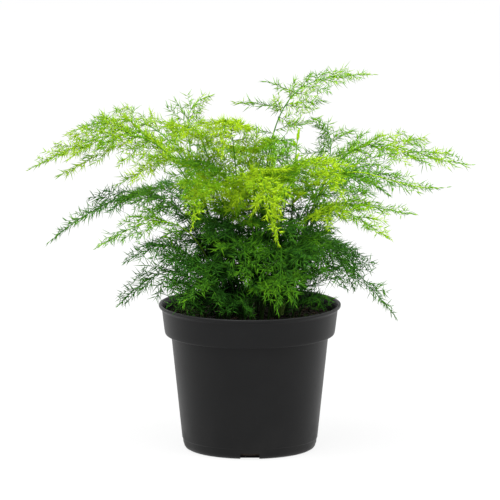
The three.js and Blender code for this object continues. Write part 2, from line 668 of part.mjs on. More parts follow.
// What is needed to grow one leafy stem
function plantOf(row, index) {
  const [name, , , , , , , age] = row;
  const isShoot = row === SHOOT;
  const curve = archOf(row);
  return {
    row,
    curve,
    isShoot,
    twigs: isShoot ? budsOf(row, curve) : chosenTwigs(twigsOf(row, curve, index + 1), curve.getLength()),
    owner: isShoot ? name : "frond_" + name,
    colour: isShoot ? COLOURS.shoot : leafColour(age),
    needle: mix(NEEDLE.young, NEEDLE.old, age),
    draw: new Draws(index + SEED),
  };
}

// All stems stand first, then their twigs, then the needles, each clear of what is there
function growBush() {
  const plants = [...FRONDS, SHOOT].map(plantOf);
  for (const { row, curve, owner } of plants) {
    const stations = stemStations(row, curve, [], 0);
    stations.slice(1).forEach(({ at, radius }, i) => {
      keepPlace(stations[i].at, at, Math.max(radius, STEM.tip), owner, 0);
    });
  }
  for (const plant of plants) {
    const { curve, owner } = plant;
    const bent = plant.twigs.map((twig) => {
      return bentClear(twig, curve.getPointAt(twig.share), curve.getTangentAt(twig.share), owner);
    });
    plant.twigs = bent.filter((twig) => twig !== null);
    plant.twigs.forEach((twig, number) => {
      const { start, way, length, droop } = twig;
      twig.spray = number + 1;
      twig.tufts = plant.isShoot ? 0 : limit(Math.round(length / TWIG.tuftStep), 1, TWIG.mostTufts);
      for (let i = 0; i < TWIG.parts; i++) {
        const from = twigPoint(start, way, length, droop, i / TWIG.parts);
        const to = twigPoint(start, way, length, droop, (i + 1) / TWIG.parts);
        keepPlace(from, to, TWIG.root, owner, twig.spray);
      }
    });
  }
  return plants.map((plant) => {
    const faces = [];
    const tufts = plant.isShoot ? 0 : TUFT.onStem;
    const stations = stemStations(plant.row, plant.curve, plant.twigs, tufts);
    const beside = plant.curve.getTangentAt(1).cross(UP).normalize();
    addRod(faces, stations, plant, 0, beside, null);
    return meshOf(plant.owner, bodyOf(faces), plant.colour, ROUGHNESS.leaf);
  });
}

const fern = new THREE.Group();
fern.name = "asparagus_fern";
fern.add(meshOf("pot", potBody(), COLOURS.pot, ROUGHNESS.pot));
fern.add(meshOf("soil", soilBody(), COLOURS.soil, ROUGHNESS.soil));
fern.add(...growBush());

export default fern;
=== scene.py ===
import math
from collections import namedtuple
from itertools import combinations

import bmesh
import bpy
import numpy as np
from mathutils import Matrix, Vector


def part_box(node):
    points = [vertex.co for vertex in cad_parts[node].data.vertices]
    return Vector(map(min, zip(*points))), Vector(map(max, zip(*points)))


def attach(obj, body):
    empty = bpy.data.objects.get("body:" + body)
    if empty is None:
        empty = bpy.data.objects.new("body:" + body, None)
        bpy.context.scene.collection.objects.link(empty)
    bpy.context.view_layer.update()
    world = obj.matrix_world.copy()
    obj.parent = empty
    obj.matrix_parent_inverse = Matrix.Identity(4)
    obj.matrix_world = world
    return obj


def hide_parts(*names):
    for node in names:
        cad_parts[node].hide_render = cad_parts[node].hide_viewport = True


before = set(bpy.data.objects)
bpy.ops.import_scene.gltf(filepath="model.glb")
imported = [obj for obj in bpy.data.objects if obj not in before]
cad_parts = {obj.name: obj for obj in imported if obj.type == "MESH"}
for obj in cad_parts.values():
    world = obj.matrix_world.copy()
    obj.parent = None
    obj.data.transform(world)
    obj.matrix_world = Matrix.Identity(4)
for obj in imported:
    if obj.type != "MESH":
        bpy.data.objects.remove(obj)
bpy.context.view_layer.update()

UP = np.array([0.0, 0.0, 1.0])
LEAST_LENGTH = 1e-12

# The view of the photograph
VIEW_CENTRE = Vector((0.0001, 0, 0.1323))
VIEW_ELEVATION = math.radians(10.15)
VIEW_DISTANCE = 6.0
VIEW_WIDTH = 0.3293
SENSOR = 36
FARTHEST_SEEN = 100

# The studio: half the floor's width, how much it glows, and place, size and power of each lamp
FLOOR_REACH = 60
FLOOR_GLOW = 0.86
LAMP_AIM = (0, 0, 0.15)
LAMPS = {
    "key": ((-0.5, -0.7, 2.6), 2.2, 90),
    "fill": ((1.2, -0.7, 1.6), 1.2, 14),
}

# The pot, from its frame box and the part's own sizes
LIP_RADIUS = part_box("pot")[1][0]
POT_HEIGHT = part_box("pot")[1][2]
FOOT_RADIUS = 0.0393
FOOT_CORNER = 0.0042
BODY_RADIUS = 0.0519
COLLAR_FOOT = 0.0762
COLLAR_RADIUS = 0.0564
MOUTH_RADIUS = 0.0581
WALL = 0.0011
POT_FLOOR = 0.0016
LEDGE_HEIGHT = 0.0074
LEDGE_DEPTH = 0.00035
SLOT_SIZE = (0.014, 0.0125, 0.0082)
SLOT_MIDDLE = 0.043
SLOTS = 4
# Its finer forms: the hollow of the base inside a ring, the ledge's slope, the shoulder of the
# collar outside and inside, and the lip
BASE_HOLLOW = 0.0006
RING_INSETS = (0.006, 0.005)
LEDGE_SLOPE = 0.0005
SHOULDER_INSET = 0.0006
SHOULDER_HEIGHTS = (0.0002, 0.0034)
INNER_SHOULDER_HEIGHTS = (0.0008, 0.0036)
LIP_NECK = 0.003
LIP_DEPTH = 0.0017
LIP_WIDTH = 0.0016
FLOOR_INSET = 0.001
NEAR_AXIS = 0.0002
POT_SIDES = 144
FILLET_STEPS = 5
SHARP_ANGLE = math.radians(50)
# Where its finish changes: how high dust lies, how far below the rim the painted highlight on the
# lip fades in, and the painted shade inside the slots, by height and by radius
DUST_TOP = 0.03
LIP_HIGHLIGHT = (0.0011, 0.0002)
SLOT_SHADE_HEIGHTS = (0.004, 0.0044)
SLOT_SHADE_RADII = (0.0412, 0.0416)

# The soil. Its waves are the part's own: radians a metre along x and y, their shifts, and the
# same for the slanting waves with their share. Its grain is height, width and seed of each relief.
SOIL_TOP = 0.086
SOIL_RELIEF = 0.00094
WAVES = (190, 230)
WAVE_SHIFTS = (1.1, -0.4)
SLANTING_WAVES = (70, 110)
SLANTING_SHARE = 0.6
SOIL_GRAIN = [(0.0011, 0.006, 5), (0.0009, 0.0026, 6), (0.0006, 0.0012, 7)]
LATTICE = 64
CRUST_GRID = (46, 144)
CRUST_START = 0.02
CRUST_DEPTH = 0.0022
CRUST_RIM = 0.001
CRUST_GAP = 0.0002
# Crumbs and bark bits: how many, least and greatest size, how stretched, how flat, palest tone
LITTER = [
    (1500, 0.0005, 0.0016, 1.3, 0.7, 0.6),
    (210, 0.0008, 0.0017, 3.2, 0.45, 0.95),
]
LITTER_SEED = 11
LITTER_REACH = 0.96
LUMP_ROUGHNESS = 0.28
LUMP_LEAN = 0.35
LUMP_LIFT = 0.3
FEW_PALE_LUMPS = 1.6
LUMP_EDGE = 1.1
STRAWS = 170
STRAW_SLOPES = (-0.05, 0.25)
STRAW_LIFT = 0.0006
STRAW_LENGTHS = (0.003, 0.008)
STRAW_RADIUS = 0.00016
STRAW_TONES = (0.85, 1)
# Moss: tufts, their greatest share of the soil's radius and how far inward they reach, how wide
# they are, blades for each metre of width, and how deep the blades are rooted
MOSS_SEED = 21
MOSS_TUFTS = 34
MOSS_EDGE = 0.94
MOSS_REACH = 0.4
MOSS_SPREADS = (0.002, 0.006)
MOSS_CROWD = 26000
MOSS_MARGIN = 0.0004
MOSS_ROOT = 0.0003
MOSS_LEAN = 0.45
MOSS_LENGTHS = (0.0012, 0.0032)
MOSS_RADIUS = 0.00013
MOSS_TONES = (0.1, 0.9)

# Leafy stems, as the part's source lists them: name, root x and y, the handle it rises to, the
# handle it arches over, the tip, longest side twig, share of the stem below the plume, age (0 pale
# to 1 dark), angle of the lowest twigs in degrees, and how much the twigs are held up.
Frond = namedtuple("Frond", "name root rise reach tip width leafy age opened lift")
FRONDS = [
    ("left_high", (-.014, .003), (-.043, .004, .246), (-.091, .006, .213),
     (-.146, .004, .185), .046, .48, .12, 70, .04),
    ("left_back", (-.012, .012), (-.038, .02, .23), (-.076, .046, .22),
     (-.121, .07, .199), .042, .48, .18, 68, .08),
    ("left_top", (-.008, .008), (-.033, .01, .184), (-.059, .03, .224),
     (-.024, .048, .228), .026, .64, .2, 54, .08),
    ("front_high", (-.005, -.002), (-.008, -.01, .224), (-.016, -.042, .251),
     (-.018, -.084, .208), .04, .44, .05, 68, .02),
    ("crown_left", (-.01, -.002), (-.026, -.004, .227), (-.039, -.031, .237),
     (-.054, -.064, .205), .034, .46, .14, 68, .02),
    ("crown_right", (.007, .002), (.012, -.004, .216), (.018, -.032, .23),
     (.016, -.072, .2), .034, .42, .3, 66, 0),
    ("top_right", (.005, .01), (.008, .014, .24), (.022, .024, .245),
     (.082, .034, .244), .03, .62, .22, 84, .1),
    ("right_up", (.02, .014), (.048, .022, .17), (.068, .038, .208),
     (.04, .052, .212), .027, .68, .35, 54, .08),
    ("right_high", (.023, .008), (.055, .01, .249), (.088, .008, .193),
     (.146, 0, .189), .044, .5, .25, 70, .06),
    ("right_mid", (.021, -.003), (.05, -.014, .238), (.073, -.024, .172),
     (.129, -.034, .18), .029, .48, .4, 66, .02),
    ("right_pale", (.017, -.006), (.04, -.016, .188), (.066, -.03, .166),
     (.109, -.04, .163), .022, .55, .35, 62, 0),
    ("right_bright", (.015, -.009), (.036, -.022, .2), (.061, -.046, .165),
     (.092, -.07, .152), .028, .5, .1, 64, -.02),
    ("centre_right", (.013, 0), (.026, -.01, .223), (.04, -.038, .209),
     (.062, -.084, .18), .038, .42, .08, 66, 0),
    ("front_bright", (.001, -.007), (.003, -.024, .217), (.003, -.074, .216),
     (.019, -.096, .153), .034, .42, .04, 64, -.05),
    ("left_bright", (-.008, -.008), (-.018, -.02, .2), (-.03, -.056, .204),
     (-.038, -.084, .16), .034, .4, .08, 64, 0),
    ("centre_mid", (-.001, .004), (.008, 0, .186), (.012, -.022, .213),
     (.022, -.078, .176), .042, .38, .4, 66, 0),
    ("left_mid", (-.006, .003), (-.018, 0, .199), (-.03, -.022, .217),
     (-.044, -.07, .178), .04, .4, .35, 66, 0),
    ("left_dark", (-.018, 0), (-.039, .002, .198), (-.085, .004, .176),
     (-.133, 0, .137), .032, .42, .72, 68, .05),
    ("left_light", (-.017, -.008), (-.033, -.016, .18), (-.072, -.03, .157),
     (-.101, -.038, .14), .025, .5, .35, 62, 0),
    ("left_low", (-.021, -.006), (-.036, -.014, .151), (-.06, -.026, .144),
     (-.082, -.034, .13), .03, .34, .8, 64, 0),
    ("left_fall", (-.024, .005), (-.039, .004, .131), (-.063, -.004, .122),
     (-.087, -.014, .097), .029, .3, .86, 64, -.02),
    ("left_in", (-.016, -.012), (-.03, -.024, .138), (-.042, -.04, .141),
     (-.054, -.046, .114), .034, .3, .9, 64, -.03),
    ("right_fall", (.024, .002), (.033, .002, .158), (.059, -.006, .135),
     (.096, -.014, .09), .024, .36, .8, 64, -.03),
    ("right_low", (.025, .011), (.035, .016, .139), (.049, .032, .153),
     (.069, .028, .1), .034, .34, .86, 64, -.03),
    ("centre_low", (.014, -.012), (.022, -.019, .141), (.032, -.037, .153),
     (.05, -.054, .126), .034, .3, .86, 64, -.03),
    ("front_low", (.012, -.017), (.02, -.03, .163), (.023, -.058, .155),
     (.018, -.07, .103), .03, .4, .6, 64, -.05),
    ("front_mid", (.001, -.013), (-.003, -.026, .156), (-.006, -.052, .158),
     (-.001, -.07, .121), .032, .34, .7, 64, -.04),
    ("front_left", (-.006, -.015), (-.016, -.024, .137), (-.024, -.044, .143),
     (-.03, -.056, .115), .032, .28, .86, 64, -.04),
    ("centre_dark", (-.004, -.005), (-.007, -.01, .157), (-.013, -.026, .168),
     (-.029, -.05, .144), .038, .34, .92, 64, 0),
    ("front_fan", (.008, -.021), (.012, -.034, .126), (.018, -.05, .134),
     (.03, -.06, .106), .03, .2, .72, 64, -.02),
    ("left_fan", (-.013, -.019), (-.022, -.03, .12), (-.034, -.042, .128),
     (-.044, -.052, .104), .03, .2, .84, 64, -.02),
    ("right_fan", (.028, -.007), (.036, -.014, .122), (.048, -.024, .136),
     (.064, -.034, .112), .028, .22, .78, 64, -.02),
    ("centre_fan", (.007, -.009), (.01, -.014, .15), (.016, -.036, .172),
     (.03, -.064, .148), .034, .28, .66, 64, 0),
    ("back_left", (-.012, .017), (-.029, .04, .165), (-.056, .078, .175),
     (-.091, .104, .143), .042, .44, .6, 66, 0),
    ("back_right", (.016, .017), (.033, .044, .174), (.058, .08, .184),
     (.094, .104, .15), .042, .44, .45, 66, 0),
    ("back_centre", (.004, .019), (.004, .046, .191), (0, .084, .2),
     (-.008, .132, .168), .044, .44, .3, 66, 0),
    ("back_low", (-.003, .023), (-.008, .05, .13), (-.014, .082, .14),
     (-.024, .106, .104), .034, .34, .86, 64, -.03),
    ("back_fall", (.013, .023), (.033, .044, .131), (.053, .064, .144),
     (.07, .084, .105), .034, .34, .86, 64, -.03),
    ("low_left", (-.029, -.014), (-.033, -.018, .106), (-.041, -.028, .109),
     (-.051, -.036, .095), .018, .15, .92, 62, 0),
    ("low_front", (-.003, -.03), (-.003, -.036, .108), (-.009, -.044, .112),
     (-.018, -.05, .098), .02, .15, .9, 62, 0),
    ("low_right", (.032, -.012), (.036, -.016, .106), (.042, -.022, .111),
     (.049, -.034, .097), .018, .15, .9, 62, 0),
    ("low_back", (.008, .034), (.011, .036, .104), (.018, .044, .116),
     (.028, .054, .099), .02, .15, .9, 62, 0),
]
YOUNG_SHOOT = ((.019, -.014), (.03, -.01, .149), (.028, -.009, .191), (.032, -.01, .212))
# Twigs and needles stay this clear of pot and soil, and of the lip outward and up or down
POT_ROOM = 0.0003
LIP_ROOM = (0.004, 0.0035)
STEM_START = SOIL_TOP + 0.003
STEM_FOOT = SOIL_TOP - 0.012
# Radii of a stem at its foot, where the plume starts and at its tip
STEM_RADII = (0.00082, 0.00042, 0.00015)
STEM_SIDES = 7
STEM_STEPS = 44
STEM_GREENS_BY = 0.15
STEM_TONE = 0.45
ARCH_STEPS = 64
SLOPE_STEP = 0.002

# The growth rule of the side twigs, which the part's source has too. Angles are in degrees.
PAIR_STEP = 0.0095
FEWEST_PAIRS = 5
PLACE_VARIES = 0.35
HIGHEST_TWIG = 0.97
LEVELLED = (1, 1, 0.5)
HEADING_PULL = 0.15
FRONT_ROLL = 15
ROLL_VARIES = 12
TIP_ANGLE = 27
ANGLE_EASE = 0.7
ANGLE_VARIES = 8
# the most that a twig's way may share with the stem's
TWIG_SPREAD = 0.8
TAPER = 0.82
LOWEST_TWIGS = 0.7
LOW_ZONE = (0, 0.12)
LENGTH_VARIES = (0.62, 1.12)
TWIG_SHORTEST = 0.004
TWIG_DROOP = 0.1
DROOP_WITH_AGE = 0.1
DROOP_VARIES = 0.07

# Twigs and branchlets, which only the scene has as fine as this
TWIG_RADIUS = 0.00027
SPRIG_STEPS = 5
SPRIG_SIDES = 3
SPRIG_TAPER = 0.75
SPRIG_GREENS_BY = 0.12
# shortest twig that has branchlets, in the youngest and in the oldest plume
BRANCHED_FROM = (0.011, 0.019)
# The first branchlet stands this share of the twig and this far out, and the tip is bare of them
FIRST_BRANCHLET = (0.14, 0.002)
LAST_BRANCHLET = 0.005
BRANCHLET_STEPS = (0.0054, 0.0082)
FULL_FROM = 0.89
FULLER_BY = 0.0012
BRANCHLET_REACH = 0.36
BRANCHLET_TAPER = 0.9
LOWEST_BRANCHLETS = 0.5
LOW_BRANCHLETS = (0, 0.25)
BRANCHLET_SHORTEST = 0.0018
BRANCHLET_LONGEST = 0.015
BRANCHLET_VARIES = (0.7, 1.2)
BRANCHLET_ANGLES = (27, 44)
BRANCHLET_LIFTS = (-0.18, 0.18)
BRANCHLET_SAG = 0.5
BRANCHLET_BOWS = (-0.08, 0.08)
BRANCHLET_TONES = (-0.05, 0.07)
BRANCHLET_RADIUS = 0.00017
# Twigs below the plume: where they start, as a share of the stem, how far apart they are, the
# heights between which they end, and the distances from the axis between which they thin out
INNER_START = 0.13
INNER_STEP = 0.0036
INNER_STEP_VARIES = (0.7, 1.3)
INNER_TOP = (0.158, 0.188)
INNER_EDGE = (0.03, 0.06)
INNER_THINNING = 0.7
INNER_LEAST = 0.05
INNER_ANGLES = (52, 80)
INNER_RISE = 0.1
INNER_LENGTHS = (0.015, 0.033)
LOWEST_INNER = 0.6
FADED_INNER = 0.4
INNER_TILT = 0.2
INNER_TONES = (0.22, 0.72)
INNER_TONE_VARIES = (-0.03, 0.05)
INNER_DROOP = 0.22
INNER_RADIUS = 0.0002
INNER_YOUTH = 0.4
INNER_BRANCHED_FROM = 0.016

# Tones run from 0, old and dark, to 1, young and pale
YOUNGEST_TONE = 0.93
TONE_WITH_AGE = 0.76
TONE_UP_THE_PLUME = 0.08
TWIG_TONE_VARIES = (-0.06, 0.06)
TIP_TONE = 0.06
NEEDLE_TONE_VARIES = (-0.13, 0.13)
NEEDLE_TONE_ENDS = (0.01, 0.99)
# The heart of the bush, where the needles are darkened as painted shade: its edge, its top, and the
# share of its tone that a needle keeps in it
HEART_RADIUS = (0.023, 0.053)
HEART_TOP = (0.135, 0.175)
HEART_SHADE = 0.06
TONE_SHIFTS = {
    "front_low": -0.1,
    "front_mid": -0.04,
    "top_right": -0.06,
    "right_fall": 0.06,
    "left_dark": 0.04,
}
# Painted light and shade in clumps that are a little paler or darker: how wide they are, how they
# slant, and by how much
CLUMP_SIZE = 0.014
CLUMP_SLANTS = (0.3, 0.4)
CLUMP_SEED = 8
CLUMP_LIGHT_AND_SHADE = 0.34
# Long side arms that the photograph shows, by plume: share of the stem, way and length
ARMS = {
    "left_high": [
        (0.64, (-0.88, -0.1, -0.37), 0.058),
        (0.52, (-0.88, -0.16, -0.37), 0.04),
    ],
    "left_top": [
        (0.67, (-0.82, 0.1, 0.3), 0.03),
        (0.74, (-0.75, 0.1, 0.5), 0.024),
        (0.82, (-0.45, 0.1, 0.75), 0.016),
    ],
    "crown_left": [
        (0.5, (-0.7, 0.1, 0.6), 0.026),
    ],
    "crown_right": [
        (0.48, (-0.2, 0.2, 0.9), 0.018),
        (0.55, (0.4, -0.2, 0.8), 0.02),
        (0.62, (0.8, -0.3, 0.45), 0.022),
    ],
    "right_up": [
        (0.74, (0.85, 0.1, 0.3), 0.022),
        (0.82, (0.75, 0.1, 0.45), 0.017),
        (0.78, (-0.9, 0.1, -0.1), 0.022),
        (0.87, (-0.6, 0.1, 0.4), 0.014),
    ],
    "right_high": [
        (0.56, (0.75, -0.1, 0.5), 0.026),
        (0.66, (0.95, -0.2, -0.2), 0.032),
    ],
    "front_bright": [
        (0.64, (-0.62, -0.3, -0.72), 0.026),
        (0.7, (0.5, -0.35, -0.78), 0.024),
        (0.77, (-0.42, -0.2, -0.88), 0.02),
        (0.83, (0.5, -0.2, -0.84), 0.014),
    ],
    "top_right": [
        (0.67, (-0.97, -0.15, 0.18), 0.034),
        (0.68, (0.97, 0.1, 0.14), 0.026),
        (0.73, (-0.9, 0.1, 0.4), 0.022),
        (0.59, (0.96, 0.1, 0.3), 0.031),
        (0.58, (-0.94, -0.2, 0.28), 0.017),
    ],
}
ARM_SAG = 0.06
ARM_FACE = (0, 1, 0.25)
ARM_RADIUS = 0.00026
# Paler stems that show in front of the heart, by plume: tone and thickness
BRIGHT_STEMS = {"right_mid": (1.0, 1.3), "left_light": (0.8, 1.0)}

# Needles. Lengths and radii are those of the youngest and of the oldest plume.
TUFT_STEP = 0.0027
TUFT_START = 0.4
TUFT_VARIES = 0.25
NEEDLES_A_TUFT = (3, 5)
FULL_TUFTS = (0.84, 0.96)
NEEDLE_LENGTHS = (0.0068, 0.0095)
NEEDLE_LENGTH_VARIES = (0.65, 1.1)
SHORTER_AT_TIP = 0.3
NARROW_PLUME = 0.03
NARROW_NEEDLES = 0.15
NEEDLE_RADII = (0.0003, 0.00034)
NEEDLE_RADIUS_VARIES = (0.85, 1.2)
NEEDLE_BELLY = 0.22
NEEDLE_ANGLES = (42, 70)
YOUNG_CLOSES_BY = 6
TIP_CLOSES_BY = 0.8
# A tuft is wider in the plume's plane than across it
TUFT_WIDTHS = (1.4, 0.6)
# The end of a twig, where its needles close, and by how much they do on a short and a long twig
TWIG_END = (0.6, 1)
CLOSES_LEAST = 0.3
CLOSES_MORE = 0.65
CLOSES_ON = (0.012, 0.032)
# The top of a plume: finer twigs and needles, no twigs, and needles on the stem itself
TIP_FINENESS = 0.35
FINER_TWIGS = (0.55, 0.95)
FINER_NEEDLES = (0.85, 1)
TIP_BARE_FROM = 0.93
STEM_NEEDLES_FROM = 0.2
STEM_END = (0.88, 1)
STEM_END_CLOSES = 0.75
STEM_NEEDLE_FACE = np.array([0.02, 0.01, 1.0])
NEEDLE_FACES = np.array([[1, 2, 0], [2, 3, 0], [3, 1, 0], [2, 1, 4], [3, 2, 4], [1, 3, 4]])
# a way that no needle has
OFF_AXIS = (0.31, -0.52, 0.79)

# Scale leaves up the bare stems
SCALES_FROM = 0.06
SCALES_PAST_LEAFY = 0.1
SCALE_STEP = 0.009
SCALE_LEAN = (0.9, 0.45)
SCALE_LENGTHS = (0.0012, 0.0024)
SCALE_RADIUS = 0.0004

# The young shoot: how far up it is bare, and its tones
SHOOT_SEED = 99
SHOOT_LEAFY = 0.9
SHOOT_SCALED = 0.85
SHOOT_TONE = 0.8
SHOOT_SCALE_TONE = 0.85
SHOOT_BESIDE = np.array([1.0, 0, 0])
# Its buds: where they stand on the shoot, how they lean out, how long they are, and their girth
TOP_BUD = 0.955
TOP_BUD_LENGTH = 0.0085
SIDE_BUDS = 5
SIDE_BUDS_FROM = 0.62
SIDE_BUDS_OVER = 0.31
BUD_TURN = 2.4
BUD_LEAN = (0.8, 0.6)
SIDE_BUD_LENGTH = 0.009
HIGHEST_SHORTER_BY = 0.5
BUD_FACE = np.array([0.3, 0.9, 0.1])
BUD_STEPS = 9
BUD_SIDES = 8
BUD_TONE = 0.95
BUD_NECK = 0.00022
BUD_BELLY = 0.0009
BUD_FORWARD = 0.8
BUD_SLIMS_BY = 0.35
BUD_GIRTHS = (0.6, 40)
BUD_SCALE_ROWS = 6
BUD_SCALES_A_ROW = 3
BUD_SCALE_PLACES = (0.12, 0.8)
BUD_SCALE_RADIUS = 0.00028
BUD_SCALE_LEAN = 0.16
BUD_SCALE_TONE = 0.9
BUD_SCALE_SEAT = 0.8
BUD_SCALE_LENGTH = 0.3

# A grown piece's map: tone across it with a margin, a little shift from side to side, and the
# parts of a plume along it
TONE_MARGIN = 0.04
SIDE_SHIFT = 0.02
FOOT_OF_NEEDLE, TIP_OF_NEEDLE, FOOT_OF_STEM, TOP_OF_STEM = 0.06, 0.6, 0.72, 0.96
FOOT_OF_SCALE, TIP_OF_SCALE = 0.7, 0.8
STEM_GREENS_FROM = 0.82
NEEDLES_END = (0.63, 0.69)

# Ages at which the leaf materials change
MID_AGE = 0.3
OLD_AGE = 0.65


# Shader nodes

class Level:
    """Wraps a number socket, so that arithmetic on it adds Math nodes."""

    def __init__(self, paint, socket):
        self.paint = paint
        self.socket = socket

    def maths(self, operation, *values):
        return self.paint.node("ShaderNodeMath", {"operation": operation}, dict(enumerate(values)))

    def __add__(self, other):
        return self.maths("ADD", self, other)

    def __sub__(self, other):
        return self.maths("SUBTRACT", self, other)

    def __rsub__(self, other):
        return self.maths("SUBTRACT", other, self)

    def __mul__(self, other):
        return self.maths("MULTIPLY", self, other)

    __radd__ = __add__
    __rmul__ = __mul__

    def step(self, low, high):
        """0 below low, 1 above high and smooth between them."""
        settings = {"interpolation_type": "SMOOTHSTEP"}
        return self.paint.node("ShaderNodeMapRange", settings, {0: self, 1: low, 2: high})


class Paint:
    """One material's node tree, which ends in a Principled shader."""

    def __init__(self, name):
        self.material = bpy.data.materials.new(name)
        self.material.use_nodes = True
        self.nodes = self.material.node_tree.nodes
        self.links = self.material.node_tree.links
        self.shader = self.nodes["Principled BSDF"]

    def feed(self, socket, value):
        if isinstance(value, Level):
            self.links.new(value.socket, socket)
        else:
            socket.default_value = value

    def node(self, kind, settings=None, inputs=None, output=0):
        """Adds a node. A ramp's stops are (place, colour) pairs."""
        node = self.nodes.new(kind)
        for key, value in (settings or {}).items():
            if key == "stops":
                self.set_stops(node.color_ramp, value)
            else:
                setattr(node, key, value)
        for key, value in (inputs or {}).items():
            self.feed(node.inputs[key], value)
        return Level(self, node.outputs[output])

    @staticmethod
    def set_stops(ramp, stops):
        while len(ramp.elements) < len(stops):
            ramp.elements.new(1)
        for element, (place, colour) in zip(ramp.elements, stops):
            element.position = place
            element.color = (*colour, 1)

    def ramp(self, level, stops):
        return self.node("ShaderNodeValToRGB", {"stops": stops}, {0: level})

    def mix(self, share, first, second, blend="MIX"):
        """Mixes two colours, each a socket or a triple."""
        colours = [c if isinstance(c, Level) else (*c, 1) for c in (first, second)]
        settings = {"data_type": "RGBA", "blend_type": blend}
        return self.node("ShaderNodeMix", settings, {0: share, 6: colours[0], 7: colours[1]}, output=2)

    def attribute(self, name):
        return self.node("ShaderNodeAttribute", {"attribute_name": name}, output=2)

    def place(self):
        return self.node("ShaderNodeTexCoord", output=3)

    def noise(self, size, detail=3, roughness=0.55):
        """A noise whose lumps are about size metres wide."""
        inputs = {"Vector": self.place(), "Scale": 1 / size, "Detail": detail, "Roughness": roughness}
        return self.node("ShaderNodeTexNoise", None, inputs)

    def height(self):
        return self.node("ShaderNodeSeparateXYZ", None, {0: self.place()}, output=2)

    def radius(self):
        """The distance from the upright axis."""
        flat = self.node("ShaderNodeVectorMath", {"operation": "MULTIPLY"}, {0: self.place(), 1: (1, 1, 0)})
        return self.node("ShaderNodeVectorMath", {"operation": "LENGTH"}, {0: flat}, output=1)

    def bump(self, level, distance):
        normal = self.node("ShaderNodeBump", None, {"Height": level, "Distance": distance})
        self.feed(self.shader.inputs["Normal"], normal)

    def finish(self, colour, roughness, **constants):
        self.feed(self.shader.inputs["Base Color"], colour)
        self.feed(self.shader.inputs["Roughness"], roughness)
        for name, value in constants.items():
            self.shader.inputs[name.replace("_", " ")].default_value = value
        return self.material


# Materials

def pot_plastic():
    """Charcoal moulded plastic: satin, with faint clouding, dust low down and a few fine scuffs,
    a painted highlight on the lip and painted shade inside the drain slots.
    """
    paint = Paint("pot_plastic")
    clouds = paint.noise(0.022, 4)
    grain = paint.noise(0.0006, 2)
    scuffs = paint.noise(0.0035, 5, 0.7).step(0.6, 0.74)
    dust = (1 - paint.height().step(0.0, DUST_TOP)) * clouds.step(0.4, 0.7)
    colour = paint.ramp(clouds, [(0.3, (0.004, 0.0041, 0.0043)), (0.7, (0.0056, 0.0057, 0.006))])
    colour = paint.mix(scuffs * 0.12, colour, (0.03, 0.03, 0.031))
    colour = paint.mix(dust * 0.08, colour, (0.05, 0.047, 0.042))
    # Painted highlight: the rounded top of the lip is lightened where it would catch the light
    lip = paint.height().step(POT_HEIGHT - LIP_HIGHLIGHT[0], POT_HEIGHT - LIP_HIGHLIGHT[1])
    colour = paint.mix(lip * 0.6, colour, (0.03, 0.03, 0.031))
    # Painted shade: the inside of the drain slots is near black, and rougher
    slot_shade = (1 - paint.height().step(*SLOT_SHADE_HEIGHTS)) * (1 - paint.radius().step(*SLOT_SHADE_RADII))
    colour = paint.mix(slot_shade, colour, (0.0003, 0.0003, 0.0003))
    roughness = 0.36 + clouds * 0.12 + scuffs * 0.1 + dust * 0.15 + slot_shade * 0.4
    paint.bump(grain + clouds * 3, 0.00003)
    return paint.finish(colour, roughness, Specular_IOR_Level=0.18)


def potting_soil():
    """Damp peat: near black, with browner and paler crumbs."""
    paint = Paint("potting_soil")
    lumps = paint.noise(0.004, 6, 0.65)
    specks = paint.noise(0.0011, 3, 0.7).step(0.6, 0.68)
    fine = paint.noise(0.0005, 2)
    stops = [(0.3, (0.007, 0.0045, 0.003)), (0.55, (0.022, 0.013, 0.008)), (0.75, (0.05, 0.03, 0.018))]
    colour = paint.mix(specks * 0.5, paint.ramp(lumps, stops), (0.11, 0.07, 0.04))
    paint.bump(lumps * 2 + fine, 0.0006)
    return paint.finish(colour, 0.85 + fine * 0.12, Specular_IOR_Level=0.3)


def crumb_brown():
    """Loose crumbs, each with its own brown."""
    paint = Paint("crumb_brown")
    tone = paint.attribute("tone")
    grain = paint.noise(0.0007, 4, 0.7)
    stops = [
        (0.0, (0.009, 0.006, 0.004)),
        (0.5, (0.03, 0.018, 0.011)),
        (0.8, (0.09, 0.052, 0.028)),
        (1.0, (0.2, 0.13, 0.075)),
    ]
    colour = paint.mix(grain.step(0.45, 0.7) * 0.4, paint.ramp(tone, stops), (0.012, 0.008, 0.006))
    paint.bump(grain, 0.0003)
    return paint.finish(colour, 0.8 + grain * 0.15, Specular_IOR_Level=0.3)


def leaf_green(name, gloss):
    """Needles and stems of one plume. Its tone runs from old dark green to young yellow-green, and
    also carries painted shade in the heart of the bush and painted light and shade in clumps.
    """
    paint = Paint(name)
    tone = paint.attribute("tone")
    along = paint.attribute("along")
    mottle = paint.noise(0.005, 3)
    shade = tone * (mottle * 0.3 + 0.86)
    needle = paint.ramp(shade, [
        (0.0, (0.002, 0.024, 0.001)),
        (0.25, (0.031, 0.124, 0.013)),
        (0.5, (0.077, 0.234, 0.009)),
        (0.75, (0.166, 0.374, 0.008)),
        (1.0, (0.385, 0.57, 0.012)),
    ])
    bare = paint.ramp(shade, [
        (0.0, (0.01, 0.026, 0.006)),
        (0.5, (0.022, 0.05, 0.008)),
        (0.93, (0.06, 0.12, 0.01)),
        (1.0, (0.17, 0.28, 0.06)),
    ])
    tip = along.step(FOOT_OF_NEEDLE, TIP_OF_NEEDLE) * 0.3
    needle = paint.mix(tip, needle, (0.6, 0.85, 0.1), "SOFT_LIGHT")
    stem = paint.mix(along.step(STEM_GREENS_FROM, TOP_OF_STEM), bare, needle)
    colour = paint.mix(along.step(*NEEDLES_END), needle, stem)
    return paint.finish(colour, gloss + mottle * 0.15, Specular_IOR_Level=0.1)


